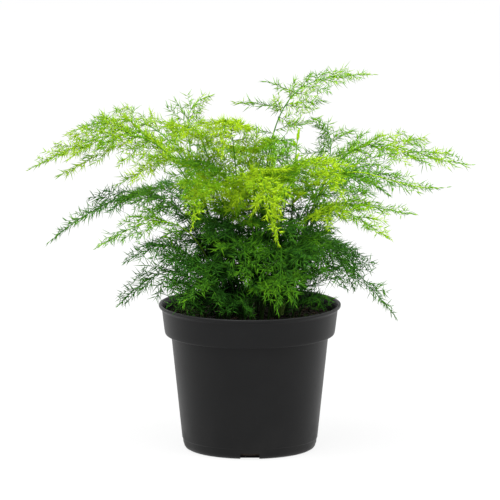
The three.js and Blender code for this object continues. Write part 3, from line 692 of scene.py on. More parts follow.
def moss_green():
    """Soft moss and seedling fuzz on the soil."""
    paint = Paint("moss_green")
    tone = paint.attribute("tone")
    patch = paint.noise(0.003, 4)
    stops = [(0.0, (0.012, 0.04, 0.01)), (0.5, (0.05, 0.13, 0.02)), (1.0, (0.16, 0.26, 0.04))]
    colour = paint.ramp(tone + (patch - 0.5) * 0.4, stops)
    return paint.finish(colour, 0.75 + patch * 0.15, Specular_IOR_Level=0.25)


def studio_white():
    """A white sweep that is lit through, so that only a faint shadow shows on it."""
    paint = Paint("studio_white")
    haze = paint.noise(0.8, 2)
    colour = paint.ramp(haze, [(0.0, (0.09, 0.09, 0.09)), (1.0, (0.11, 0.11, 0.11))])
    glow = {"Emission_Color": (1, 1, 1, 1), "Emission_Strength": FLOOR_GLOW}
    return paint.finish(colour, 0.9, Specular_IOR_Level=0.0, **glow)


# Arithmetic

def unit(vectors):
    return vectors / np.maximum(np.linalg.norm(vectors, axis=-1, keepdims=True), LEAST_LENGTH)


def smooth(value):
    """0 up to 0, 1 from 1 on, and no corner between them."""
    value = np.clip(value, 0, 1)
    return value * value * (3 - 2 * value)


def share_between(value, ends):
    """0 at the first end, 1 at the second and even between them."""
    low, high = ends
    return np.clip((value - low) / (high - low), 0, 1)


def rise(value, ends):
    """0 at the first end, 1 at the second and smooth between them."""
    return smooth(share_between(value, ends))


def from_least(least, share):
    """Runs from least to 1 as share runs from 0 to 1."""
    return least + (1 - least) * share


def even_turns(count):
    return np.arange(count) * math.tau / count


def lattice_noise(x, y, cell, seed):
    """Smooth random heights between 0 and 1 over a square lattice."""
    table = np.random.default_rng(seed).random((LATTICE, LATTICE))
    x, y = x / cell + LATTICE / 2, y / cell + LATTICE / 2
    i, j = np.floor(x).astype(int), np.floor(y).astype(int)
    u, v = smooth(x - i), smooth(y - j)

    def corner(a, b):
        return table[(i + a) % LATTICE, (j + b) % LATTICE]

    low = corner(0, 0) * (1 - u) + corner(1, 0) * u
    high = corner(0, 1) * (1 - u) + corner(1, 1) * u
    return low * (1 - v) + high * v


# Meshes

def piece_from(name, vertices, faces, material):
    """A piece of triangles or quads that rides on the pot's body."""
    mesh = bpy.data.meshes.new(name)
    corners = faces.shape[1]
    mesh.vertices.add(len(vertices))
    mesh.vertices.foreach_set("co", np.ascontiguousarray(vertices, np.float32).ravel())
    mesh.loops.add(faces.size)
    mesh.loops.foreach_set("vertex_index", np.ascontiguousarray(faces, np.int32).ravel())
    mesh.polygons.add(len(faces))
    mesh.polygons.foreach_set("loop_start", np.arange(0, faces.size, corners, dtype=np.int32))
    mesh.polygons.foreach_set("use_smooth", np.ones(len(faces), bool))
    mesh.update(calc_edges=True)
    mesh.materials.append(material)
    piece = bpy.data.objects.new(name, mesh)
    bpy.context.scene.collection.objects.link(piece)
    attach(piece, "root")
    return piece


def rod_faces(rings, sides):
    """Triangles of a rod with so many rings, closed at its foot, that ends in one point."""
    faces = []
    for i in range(rings):
        for j in range(sides):
            here, there = i * sides + j, i * sides + (j + 1) % sides
            if i == rings - 1:
                faces.append((here, there, rings * sides))
            else:
                faces.append((here, there, there + sides))
                faces.append((here, there + sides, here + sides))
    faces += [(0, j + 1, j) for j in range(1, sides - 1)]
    return np.array(faces)


class Growth:
    """Collects the repeats of one piece: their corners, triangles, tone and place on its map."""

    def __init__(self):
        self.count = 0
        self.corners = []
        self.faces = []
        self.tones = []
        self.alongs = []
        self.sides = []

    def add(self, corners, faces, tones, along, sides):
        """Adds n copies of one form: corners (n, k, 3), tones (n,), along and sides (n, k) or (k,)."""
        n, k, _ = corners.shape
        first = self.count + np.arange(n)[:, None, None] * k
        self.corners.append(corners.reshape(-1, 3))
        self.faces.append((first + faces[None]).reshape(-1, 3))
        self.tones.append(np.repeat(tones, k))
        self.alongs.append(np.broadcast_to(along, (n, k)).ravel())
        self.sides.append(np.broadcast_to(sides, (n, k)).ravel())
        self.count += n * k

    def add_needles(self, roots, ways, lengths, radii, tones, low=FOOT_OF_NEEDLE, high=TIP_OF_NEEDLE):
        """Slim spikes with three sides."""
        side = unit(np.cross(ways, OFF_AXIS))
        other = np.cross(ways, side)
        spokes = [side * math.cos(turn) + other * math.sin(turn) for turn in even_turns(3)]
        belly = roots + ways * (lengths * NEEDLE_BELLY)[:, None]
        ring = [belly + spoke * radii[:, None] for spoke in spokes]
        corners = np.stack([roots, *ring, roots + ways * lengths[:, None]], axis=1)
        middle = (low + high) / 2
        self.add(corners, NEEDLE_FACES, tones, (low, middle, middle, middle, high), (0, -1, 1, 0, 0))

    def add_rods(self, paths, normals, radii, sides, tones, along):
        """Closed rods along paths (n, m, 3) that end in a point. radii and along are (n, m)."""
        n, m, _ = paths.shape
        slopes = unit(np.gradient(paths, axis=1))
        side = unit(np.cross(slopes, normals[:, None]))[:, :-1, None]
        other = np.cross(slopes[:, :-1, None], side)
        turn = even_turns(sides)
        spoke = side * np.cos(turn)[:, None] + other * np.sin(turn)[:, None]
        rings = paths[:, :-1, None] + spoke * radii[:, :-1, None, None]
        corners = np.concatenate([rings.reshape(n, -1, 3), paths[:, -1:]], axis=1)
        places = np.concatenate([np.repeat(along[:, :-1], sides, axis=1), along[:, -1:]], axis=1)
        across = np.append(np.tile(np.cos(turn), m - 1), 0)
        self.add(corners, rod_faces(m - 1, sides), tones, places, across)

    def piece(self, name, material, slot):
        """The piece, with tone and along as attributes and as its UV map OFBake."""
        tones = np.concatenate(self.tones)
        alongs = np.concatenate(self.alongs)
        faces = np.concatenate(self.faces)
        piece = piece_from(name, np.concatenate(self.corners), faces, material)
        for label, values in (("tone", tones), ("along", alongs)):
            layer = piece.data.attributes.new(label, "FLOAT", "POINT")
            layer.data.foreach_set("value", values.astype(np.float32))
        across = TONE_MARGIN + (1 - 2 * TONE_MARGIN) * np.clip(tones, 0, 1)
        across = across + SIDE_SHIFT * np.concatenate(self.sides)
        places = np.stack([across, alongs], axis=1)[faces.ravel()]
        piece.data.uv_layers.new(name="OFBake").data.foreach_set("uv", places.astype(np.float32).ravel())
        return piece


# The pot

def wall_radius(z):
    """The pot's inner wall at height z."""
    body = FOOT_RADIUS + FOOT_CORNER + (BODY_RADIUS - FOOT_RADIUS - FOOT_CORNER) * z / COLLAR_FOOT
    collar = COLLAR_RADIUS + (MOUTH_RADIUS - COLLAR_RADIUS) * (z - COLLAR_FOOT) / (POT_HEIGHT - COLLAR_FOOT)
    return np.where(z < COLLAR_FOOT, body, collar) - WALL


def filleted(outline):
    """Rounds each corner of an outline of (radius, height, fillet) points."""
    points = np.array([p[:2] for p in outline])
    rounded = [points[0]]
    for before, here, after, (_, _, fillet) in zip(points, points[1:], points[2:], outline[1:]):
        start = here + unit(before - here) * fillet
        end = here + unit(after - here) * fillet
        for t in np.linspace(0, 1, FILLET_STEPS):
            rounded.append((1 - t) ** 2 * start + 2 * t * (1 - t) * here + t * t * end)
    return np.array([*rounded, points[-1]])


def turned(outline, sides):
    """Vertices and quads of an outline turned round Z. It starts and ends near the axis."""
    turns = even_turns(sides)
    rings = np.array([[(r * math.cos(a), r * math.sin(a), z) for a in turns] for r, z in outline])
    i, j = np.meshgrid(np.arange(len(outline) - 1), np.arange(sides), indexing="ij")
    here = i * sides + j
    there = i * sides + (j + 1) % sides
    return rings.reshape(-1, 3), np.stack([here, there, there + sides, here + sides], axis=-1).reshape(-1, 4)


def slot_cutter(turn):
    """A box over one drain slot, at an angle round the foot."""
    signs = np.array([(x, y, z) for x in (-1, 1) for y in (-1, 1) for z in (-1, 1)])
    corners = signs * np.array(SLOT_SIZE) / 2 + (SLOT_MIDDLE, 0, 0)
    away = corners[:, 0] * math.cos(turn) - corners[:, 1] * math.sin(turn)
    beside = corners[:, 0] * math.sin(turn) + corners[:, 1] * math.cos(turn)
    faces = [(0, 1, 3, 2), (4, 6, 7, 5), (0, 4, 5, 1), (2, 3, 7, 6), (0, 2, 6, 4), (1, 5, 7, 3)]
    mesh = bpy.data.meshes.new("slot_cutter")
    mesh.from_pydata(np.stack([away, beside, corners[:, 2]], axis=1).tolist(), [], faces)
    cutter = bpy.data.objects.new("slot_cutter", mesh)
    bpy.context.scene.collection.objects.link(cutter)
    return cutter


def cut_slots(pot):
    """Cuts the drain slots through the foot's edge."""
    cutters = [slot_cutter(turn) for turn in even_turns(SLOTS)]
    for cutter in cutters:
        cut = pot.modifiers.new("slot", "BOOLEAN")
        cut.operation = "DIFFERENCE"
        cut.object = cutter
    bpy.context.view_layer.update()
    pot.data = bpy.data.meshes.new_from_object(pot.evaluated_get(bpy.context.evaluated_depsgraph_get()))
    pot.modifiers.clear()
    for cutter in cutters:
        bpy.data.objects.remove(cutter)


def close_ends(mesh, first_pole, rings):
    """Closes the small holes that a turned outline leaves at the axis."""
    shape = bmesh.new()
    shape.from_mesh(mesh)
    shape.verts.ensure_lookup_table()
    last_ring = (rings - 1) * POT_SIDES
    for j in range(POT_SIDES):
        k = (j + 1) % POT_SIDES
        shape.faces.new([shape.verts[i] for i in (k, j, first_pole)])
        shape.faces.new([shape.verts[i] for i in (last_ring + j, last_ring + k, first_pole + 1)])
    for face in shape.faces:
        face.smooth = True
    shape.to_mesh(mesh)
    shape.free()


def pot_outline():
    """The pot's section as (radius, height, fillet): from under its base up the outside, over
    the lip and down the inside."""
    foot = FOOT_RADIUS + FOOT_CORNER
    rise_of_wall = (BODY_RADIUS - foot) / COLLAR_FOOT
    under_ledge = LEDGE_HEIGHT - LEDGE_SLOPE
    low, high = SHOULDER_HEIGHTS
    inner_low, inner_high = INNER_SHOULDER_HEIGHTS
    return [
        (NEAR_AXIS, BASE_HOLLOW, 0),
        (FOOT_RADIUS - RING_INSETS[0], BASE_HOLLOW, 0.0004),
        (FOOT_RADIUS - RING_INSETS[1], 0, 0.0004),
        (foot, 0, FOOT_CORNER),
        (foot + rise_of_wall * under_ledge, under_ledge, 0.0002),
        (foot + rise_of_wall * LEDGE_HEIGHT + LEDGE_DEPTH, LEDGE_HEIGHT, 0.0002),
        (BODY_RADIUS, COLLAR_FOOT, 0.0008),
        (COLLAR_RADIUS - SHOULDER_INSET, COLLAR_FOOT + low, 0.0012),
        (COLLAR_RADIUS, COLLAR_FOOT + high, 0.0012),
        (MOUTH_RADIUS, POT_HEIGHT - LIP_NECK, 0.001),
        (LIP_RADIUS, POT_HEIGHT - LIP_DEPTH, 0.0006),
        (LIP_RADIUS, POT_HEIGHT, 0.0005),
        (LIP_RADIUS - LIP_WIDTH, POT_HEIGHT, 0.0005),
        (MOUTH_RADIUS - WALL, POT_HEIGHT - LIP_NECK, 0.0015),
        (wall_radius(COLLAR_FOOT + inner_high), COLLAR_FOOT + inner_high, 0.0006),
        (BODY_RADIUS - WALL, COLLAR_FOOT + inner_low, 0.0006),
        (FOOT_RADIUS - FLOOR_INSET, POT_FLOOR, 0.003),
        (NEAR_AXIS, POT_FLOOR, 0),
    ]


def moulded_pot():
    outline = filleted(pot_outline())
    vertices, faces = turned(outline, POT_SIDES)
    poles = [(0, 0, outline[0][1]), (0, 0, outline[-1][1])]
    vertices = np.concatenate([vertices, poles])
    pot = piece_from("moulded_pot", vertices, faces, pot_plastic())
    close_ends(pot.data, len(vertices) - len(poles), len(outline))
    cut_slots(pot)
    pot.data.set_sharp_from_angle(angle=SHARP_ANGLE)
    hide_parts("pot")


# The soil

def soil_height(x, y):
    """The part's uneven soil, with crumbly relief on it."""
    waves = np.sin(x * WAVES[0] + WAVE_SHIFTS[0]) * np.cos(y * WAVES[1] + WAVE_SHIFTS[1])
    slanting = np.sin(x * SLANTING_WAVES[0] - y * SLANTING_WAVES[1])
    relief = SOIL_RELIEF * (waves + SLANTING_SHARE * slanting)
    grain = sum(height * lattice_noise(x, y, width, seed) for height, width, seed in SOIL_GRAIN)
    return SOIL_TOP + relief + grain


def crust_edge():
    return wall_radius(SOIL_TOP + CRUST_RIM) - CRUST_GAP


def soil_crust():
    """A closed crumbly layer over the plain top of the soil."""
    rings, sides = CRUST_GRID
    radii = np.linspace(CRUST_START, 1, rings) * crust_edge()
    radius, turn = np.meshgrid(radii, even_turns(sides), indexing="ij")
    x, y = radius * np.cos(turn), radius * np.sin(turn)
    top = np.stack([x, y, soil_height(x, y)], axis=-1)
    skirt = top[-1].copy()
    skirt[:, 2] = SOIL_TOP - CRUST_DEPTH
    poles = [(0, 0, soil_height(0.0, 0.0)), (0, 0, SOIL_TOP - CRUST_DEPTH)]
    vertices = np.concatenate([top.reshape(-1, 3), skirt, poles])
    top_pole, low_pole = len(vertices) - 2, len(vertices) - 1
    i, j = np.meshgrid(np.arange(rings), np.arange(sides), indexing="ij")
    here, there = i * sides + j, i * sides + (j + 1) % sides
    first = np.stack([here, here + sides, there + sides], axis=-1).reshape(-1, 3)
    second = np.stack([here, there + sides, there], axis=-1).reshape(-1, 3)
    side = np.arange(sides)
    after = (side + 1) % sides
    under = rings * sides
    middle = np.stack([np.full(sides, top_pole), side, after], axis=1)
    bottom = np.stack([np.full(sides, low_pole), under + after, under + side], axis=1)
    faces = np.concatenate([first, second, middle, bottom])
    return piece_from("soil_crust", vertices, faces, potting_soil())


def scattered(draws, count):
    """Even random places on the soil."""
    radius = np.sqrt(draws.random(count)) * crust_edge() * LITTER_REACH
    turn = draws.random(count) * math.tau
    x, y = radius * np.cos(turn), radius * np.sin(turn)
    return np.stack([x, y, soil_height(x, y)], axis=1)


def lump_form():
    """An icosahedron's corners and faces."""
    golden = (1 + math.sqrt(5)) / 2
    corners = []
    for a in (-1, 1):
        for b in (-golden, golden):
            corners += [(0, a, b), (a, b, 0), (b, 0, a)]
    corners = unit(np.array(corners, float))
    faces = []
    for i, j, k in combinations(range(len(corners)), 3):
        sides = [corners[i] - corners[j], corners[j] - corners[k], corners[k] - corners[i]]
        if max(np.linalg.norm(side) for side in sides) < LUMP_EDGE:
            outward = np.cross(corners[j] - corners[i], corners[k] - corners[i])
            faces.append((i, j, k) if outward @ corners[i] > 0 else (i, k, j))
    return corners, np.array(faces)


def add_lumps(growth, draws):
    """Crumbs and bits of bark: rough lumps, stretched and turned at random."""
    form, faces = lump_form()
    corner_count = len(form)
    for count, low, high, stretch, flat, pale in LITTER:
        size = low + (high - low) * draws.random(count) ** 2
        yaw = draws.random(count) * math.tau
        rough = draws.uniform(-LUMP_ROUGHNESS, LUMP_ROUGHNESS, (count, corner_count, 1))
        shape = form[None] * (1 + rough)
        shape = shape * np.array([stretch, 1, flat]) * size[:, None, None]
        turned_x = shape[..., 0] * np.cos(yaw)[:, None] - shape[..., 1] * np.sin(yaw)[:, None]
        turned_y = shape[..., 0] * np.sin(yaw)[:, None] + shape[..., 1] * np.cos(yaw)[:, None]
        lean = draws.uniform(-LUMP_LEAN, LUMP_LEAN, (count, 1))
        corners = np.stack([turned_x, turned_y, shape[..., 2] + turned_x * lean], axis=-1)
        corners += scattered(draws, count)[:, None]
        corners[..., 2] += size[:, None] * LUMP_LIFT
        tones = pale * draws.random(count) ** FEW_PALE_LUMPS
        growth.add(corners, faces, tones, np.full(corner_count, 0.5), form[:, 0])


def add_straws(growth, draws):
    """Fallen dry needles."""
    roots = scattered(draws, STRAWS)
    yaw = draws.random(STRAWS) * math.tau
    ways = unit(np.stack([np.cos(yaw), np.sin(yaw), draws.uniform(*STRAW_SLOPES, STRAWS)], axis=1))
    roots[:, 2] += STRAW_LIFT
    lengths = draws.uniform(*STRAW_LENGTHS, STRAWS)
    tones = draws.uniform(*STRAW_TONES, STRAWS)
    growth.add_needles(roots, ways, lengths, np.full(STRAWS, STRAW_RADIUS), tones)


def soil_litter():
    """Crumbs, bark bits and fallen dry needles that lie on the soil."""
    draws = np.random.default_rng(LITTER_SEED)
    growth = Growth()
    add_lumps(growth, draws)
    add_straws(growth, draws)
    growth.piece("soil_litter", crumb_brown(), "soil")


def soil_moss():
    """Low green fuzz in patches, most of it near the pot's wall."""
    draws = np.random.default_rng(MOSS_SEED)
    growth = Growth()
    turn = draws.random(MOSS_TUFTS) * math.tau
    radius = crust_edge() * (MOSS_EDGE - MOSS_REACH * draws.random(MOSS_TUFTS) ** 2)
    spreads = draws.uniform(*MOSS_SPREADS, MOSS_TUFTS)
    for x, y, spread in zip(radius * np.cos(turn), radius * np.sin(turn), spreads):
        count = int(MOSS_CROWD * spread)
        px, py = x + draws.normal(0, spread, count), y + draws.normal(0, spread, count)
        inside = np.hypot(px, py) < crust_edge() - MOSS_MARGIN
        px, py = px[inside], py[inside]
        count = len(px)
        roots = np.stack([px, py, soil_height(px, py) - MOSS_ROOT], axis=1)
        ways = unit(draws.normal(0, MOSS_LEAN, (count, 3)) + UP)
        lengths = draws.uniform(*MOSS_LENGTHS, count)
        tones = draws.uniform(*MOSS_TONES, count)
        growth.add_needles(roots, ways, lengths, np.full(count, MOSS_RADIUS), tones)
    growth.piece("soil_moss", moss_green(), "leaf_dark")


# The plant's growth

class Arch:
    """A stem's cubic curve, measured along its length."""

    def __init__(self, root, rise, reach, tip):
        self.handles = np.array([(*root, STEM_START), rise, reach, tip])
        self.turns = np.linspace(0, 1, ARCH_STEPS + 1)
        steps = np.linalg.norm(np.diff(self.on_curve(self.turns), axis=0), axis=1)
        self.measured = np.concatenate([[0], np.cumsum(steps)])
        self.length = self.measured[-1]

    def on_curve(self, t):
        t = np.asarray(t)[..., None]
        a, b, c, d = self.handles
        return (1 - t) ** 3 * a + 3 * (1 - t) ** 2 * t * b + 3 * (1 - t) * t * t * c + t ** 3 * d

    def at(self, share):
        return self.on_curve(np.interp(np.asarray(share) * self.length, self.measured, self.turns))

    def slope(self, share):
        share = np.asarray(share, float)
        return unit(self.at(np.minimum(share + SLOPE_STEP, 1)) - self.at(share - SLOPE_STEP))


class Draws:
    """The part's own repeatable draws, so that both have the same twigs."""

    FACTOR = 48271
    LIMIT = 2147483647
    SEED_FACTOR = 7919
    SEED_SHIFT = 101
    SKIPPED = 3

    def __init__(self, seed):
        self.state = seed * self.SEED_FACTOR + self.SEED_SHIFT
        for _ in range(self.SKIPPED):
            self.next()

    def next(self):
        self.state = self.state * self.FACTOR % self.LIMIT
        return self.state / self.LIMIT

    def between(self, low, high):
        return low + (high - low) * self.next()

    def about(self, most):
        return self.between(-most, most)


# One twig or branchlet: a straight shoot that sags toward its tip. Young is 1 in the youngest
# plume, and fineness is less than 1 near a plume's top.
Sprig = namedtuple("Sprig", "start way length droop normal radius tone young fineness", defaults=[1.0])


def on_sprig(start, way, length, droop, share):
    """Points at share along sprigs. All arguments have the same leading shape."""
    sag = np.asarray(droop * length * share ** 2)[..., None] * UP
    return start + way * np.asarray(length * share)[..., None] - sag


def facing_up(normal):
    """The normal's unit, turned over if it points down."""
    normal = unit(normal)
    return normal * (1 if normal[2] > 0 else -1)


def clears_pot(points):
    """True where a point is clear of the pot's wall, the soil and the lip."""
    out = np.hypot(points[..., 0], points[..., 1])
    z = points[..., 2]
    wall = wall_radius(z)
    in_wall = (z < POT_HEIGHT + POT_ROOM) & (out > wall - POT_ROOM) & (out < LIP_RADIUS + POT_ROOM)
    in_soil = (z < soil_height(points[..., 0], points[..., 1]) + POT_ROOM) & (out < wall)
    over_lip = (abs(out - LIP_RADIUS) < LIP_ROOM[0]) & (abs(z - POT_HEIGHT) < LIP_ROOM[1])
    return ~(in_wall | in_soil | over_lip)


def twigs_of(arch, heading, frond, seed):
    """Side twigs by the part's growth rule: alternate, longest low down, closing toward the tip."""
    draw = Draws(seed)
    beside = np.cross(heading, UP)
    count = 2 * max(FEWEST_PAIRS, round((1 - frond.leafy) * arch.length / PAIR_STEP))
    for k in range(count):
        side = 1 if k % 2 == 0 else -1
        u = min(HIGHEST_TWIG, (k + 0.5 + draw.about(PLACE_VARIES)) / count)
        share = from_least(frond.leafy, u)
        slope = arch.slope(share)
        level = unit(slope * LEVELLED + heading * HEADING_PULL)
        roll = math.radians(draw.about(ROLL_VARIES) + FRONT_ROLL * side * beside[1])
        out = beside * side * math.cos(roll) + UP * math.sin(roll)
        closing = (TIP_ANGLE - frond.opened) * u ** ANGLE_EASE
        angle = math.radians(frond.opened + closing + draw.about(ANGLE_VARIES))
        way = unit(level * math.cos(angle) + out * math.sin(angle))
        too_close = abs(way @ slope) - TWIG_SPREAD
        if too_close > 0:
            way = unit(way - slope * too_close * np.sign(way @ slope))
        taper = (1 - u) ** TAPER * from_least(LOWEST_TWIGS, rise(u, LOW_ZONE))
        length = frond.width * taper * draw.between(*LENGTH_VARIES) + TWIG_SHORTEST
        droop = TWIG_DROOP + DROOP_WITH_AGE * frond.age - frond.lift + draw.about(DROOP_VARIES)
        yield u, arch.at(share), slope, way, length, droop


def heart_shade(points):
    """How much of its tone a needle keeps: painted shade, the least in the heart of the bush."""
    outer = rise(np.hypot(points[:, 0], points[:, 1]), HEART_RADIUS)
    upper = rise(points[:, 2], HEART_TOP)
    return from_least(HEART_SHADE, np.maximum(outer, upper))


def needles_a_tuft(young):
    """The palest plumes are the fullest."""
    few, most = NEEDLES_A_TUFT
    return np.round(few + (most - few) * rise(np.asarray(young), FULL_TUFTS)).astype(int)


def add_tufts(growth, points, slopes, normals, near_tip, tones, size, young, draws):
    """Needles all round a shoot, leaning forward and closing toward its growing tip."""
    count = len(points)
    side = unit(np.cross(slopes, normals))
    other = np.cross(side, slopes)
    turn = draws.random(count) * math.tau
    wide, narrow = TUFT_WIDTHS
    out = unit(side * np.cos(turn)[:, None] * wide + other * np.sin(turn)[:, None] * narrow)
    open_angle = draws.uniform(*NEEDLE_ANGLES, count) - YOUNG_CLOSES_BY * young
    spread = np.radians(open_angle * (1 - TIP_CLOSES_BY * near_tip))
    ways = slopes * np.cos(spread)[:, None] + out * np.sin(spread)[:, None]
    lengths = size * draws.uniform(*NEEDLE_LENGTH_VARIES, count) * (1 - SHORTER_AT_TIP * near_tip)
    reach = ways * lengths[:, None]
    x, y, z = points.T
    # Painted light and shade: clumps of needles a little paler or darker at random
    clump = lattice_noise(x + CLUMP_SLANTS[0] * y, z - CLUMP_SLANTS[1] * y, CLUMP_SIZE, CLUMP_SEED)
    tones = tones + draws.uniform(*NEEDLE_TONE_VARIES, count) + CLUMP_LIGHT_AND_SHADE * (clump - 0.5)
    # Painted shade: needles in the heart of the bush are darkened
    tones = np.clip(tones, *NEEDLE_TONE_ENDS) * heart_shade(points)
    keep = clears_pot(points + reach) & clears_pot(points + reach / 2)
    radii = np.interp(1 - young, (0, 1), NEEDLE_RADII) * draws.uniform(*NEEDLE_RADIUS_VARIES, count)
    growth.add_needles(points[keep], ways[keep], lengths[keep], radii[keep], tones[keep])


def add_sprigs(growth, sprigs, size, draws):
    """The rods of all twigs and branchlets of a plume, and their needles."""
    every = Sprig(*(np.array(values) for values in zip(*sprigs)))
    steps = np.linspace(0, 1, SPRIG_STEPS)
    lengths, droops = every.length[:, None], every.droop[:, None]
    paths = on_sprig(every.start[:, None], every.way[:, None], lengths, droops, steps[None])
    keep = clears_pot(paths).all(axis=1)
    kept = Sprig(*(values[keep] for values in every))
    radii = kept.radius[:, None] * (1 - SPRIG_TAPER * steps)
    along = np.broadcast_to(TOP_OF_STEM - SPRIG_GREENS_BY * (1 - steps), radii.shape)
    growth.add_rods(paths[keep], kept.normal, radii, SPRIG_SIDES, kept.tone, along)
    tufts = np.maximum(1, np.round(kept.length / TUFT_STEP).astype(int))
    crowd = needles_a_tuft(kept.young)
    number = np.concatenate([np.repeat(np.arange(n), m) for n, m in zip(tufts, crowd)])
    index = np.repeat(np.arange(len(tufts)), tufts * crowd)
    own = Sprig(*(values[index] for values in kept))
    vary = draws.uniform(-TUFT_VARIES, TUFT_VARIES, len(number))
    share = (number + TUFT_START + vary) / tufts[index]
    points = on_sprig(own.start, own.way, own.length, own.droop, share)
    slopes = unit(own.way - (2 * own.droop * share)[:, None] * UP)
    closed = CLOSES_LEAST + CLOSES_MORE * own.young * rise(own.length, CLOSES_ON)
    near_tip = share_between(share, TWIG_END) * closed
    tones = own.tone + TIP_TONE * near_tip
    add_tufts(growth, points, slopes, own.normal, near_tip, tones, size * own.fineness, own.young, draws)


def add_stem(growth, arch, root, leafy, tone, beside, thick=1.0):
    """The stem's own rod, from inside the soil to the tip."""
    share = np.linspace(0, 1, STEM_STEPS)
    path = np.concatenate([[(*root, STEM_FOOT)], arch.at(share)])[None]
    radii = np.interp(share, (0, leafy, 1), STEM_RADII)
    radii = thick * np.concatenate([[STEM_RADII[0]], radii])[None]
    along = np.interp(share, (0, leafy + STEM_GREENS_BY), (FOOT_OF_STEM, TOP_OF_STEM))
    along = np.concatenate([[FOOT_OF_STEM], along])[None]
    growth.add_rods(path, beside[None], radii, STEM_SIDES, np.array([tone]), along)


def add_scales(growth, arch, leafy, tone, draws):
    """Small dry scale leaves up the bare part of a stem."""
    share = np.arange(SCALES_FROM, leafy + SCALES_PAST_LEAFY, SCALE_STEP / arch.length)
    count = len(share)
    slopes = arch.slope(share)
    side = unit(np.cross(slopes, draws.normal(0, 1, (count, 3))))
    forward, outward = SCALE_LEAN
    ways = unit(slopes * forward + side * outward)
    lengths = draws.uniform(*SCALE_LENGTHS, count)
    radii, tones = np.full(count, SCALE_RADIUS), np.full(count, tone)
    growth.add_needles(arch.at(share), ways, lengths, radii, tones, FOOT_OF_SCALE, TIP_OF_SCALE)


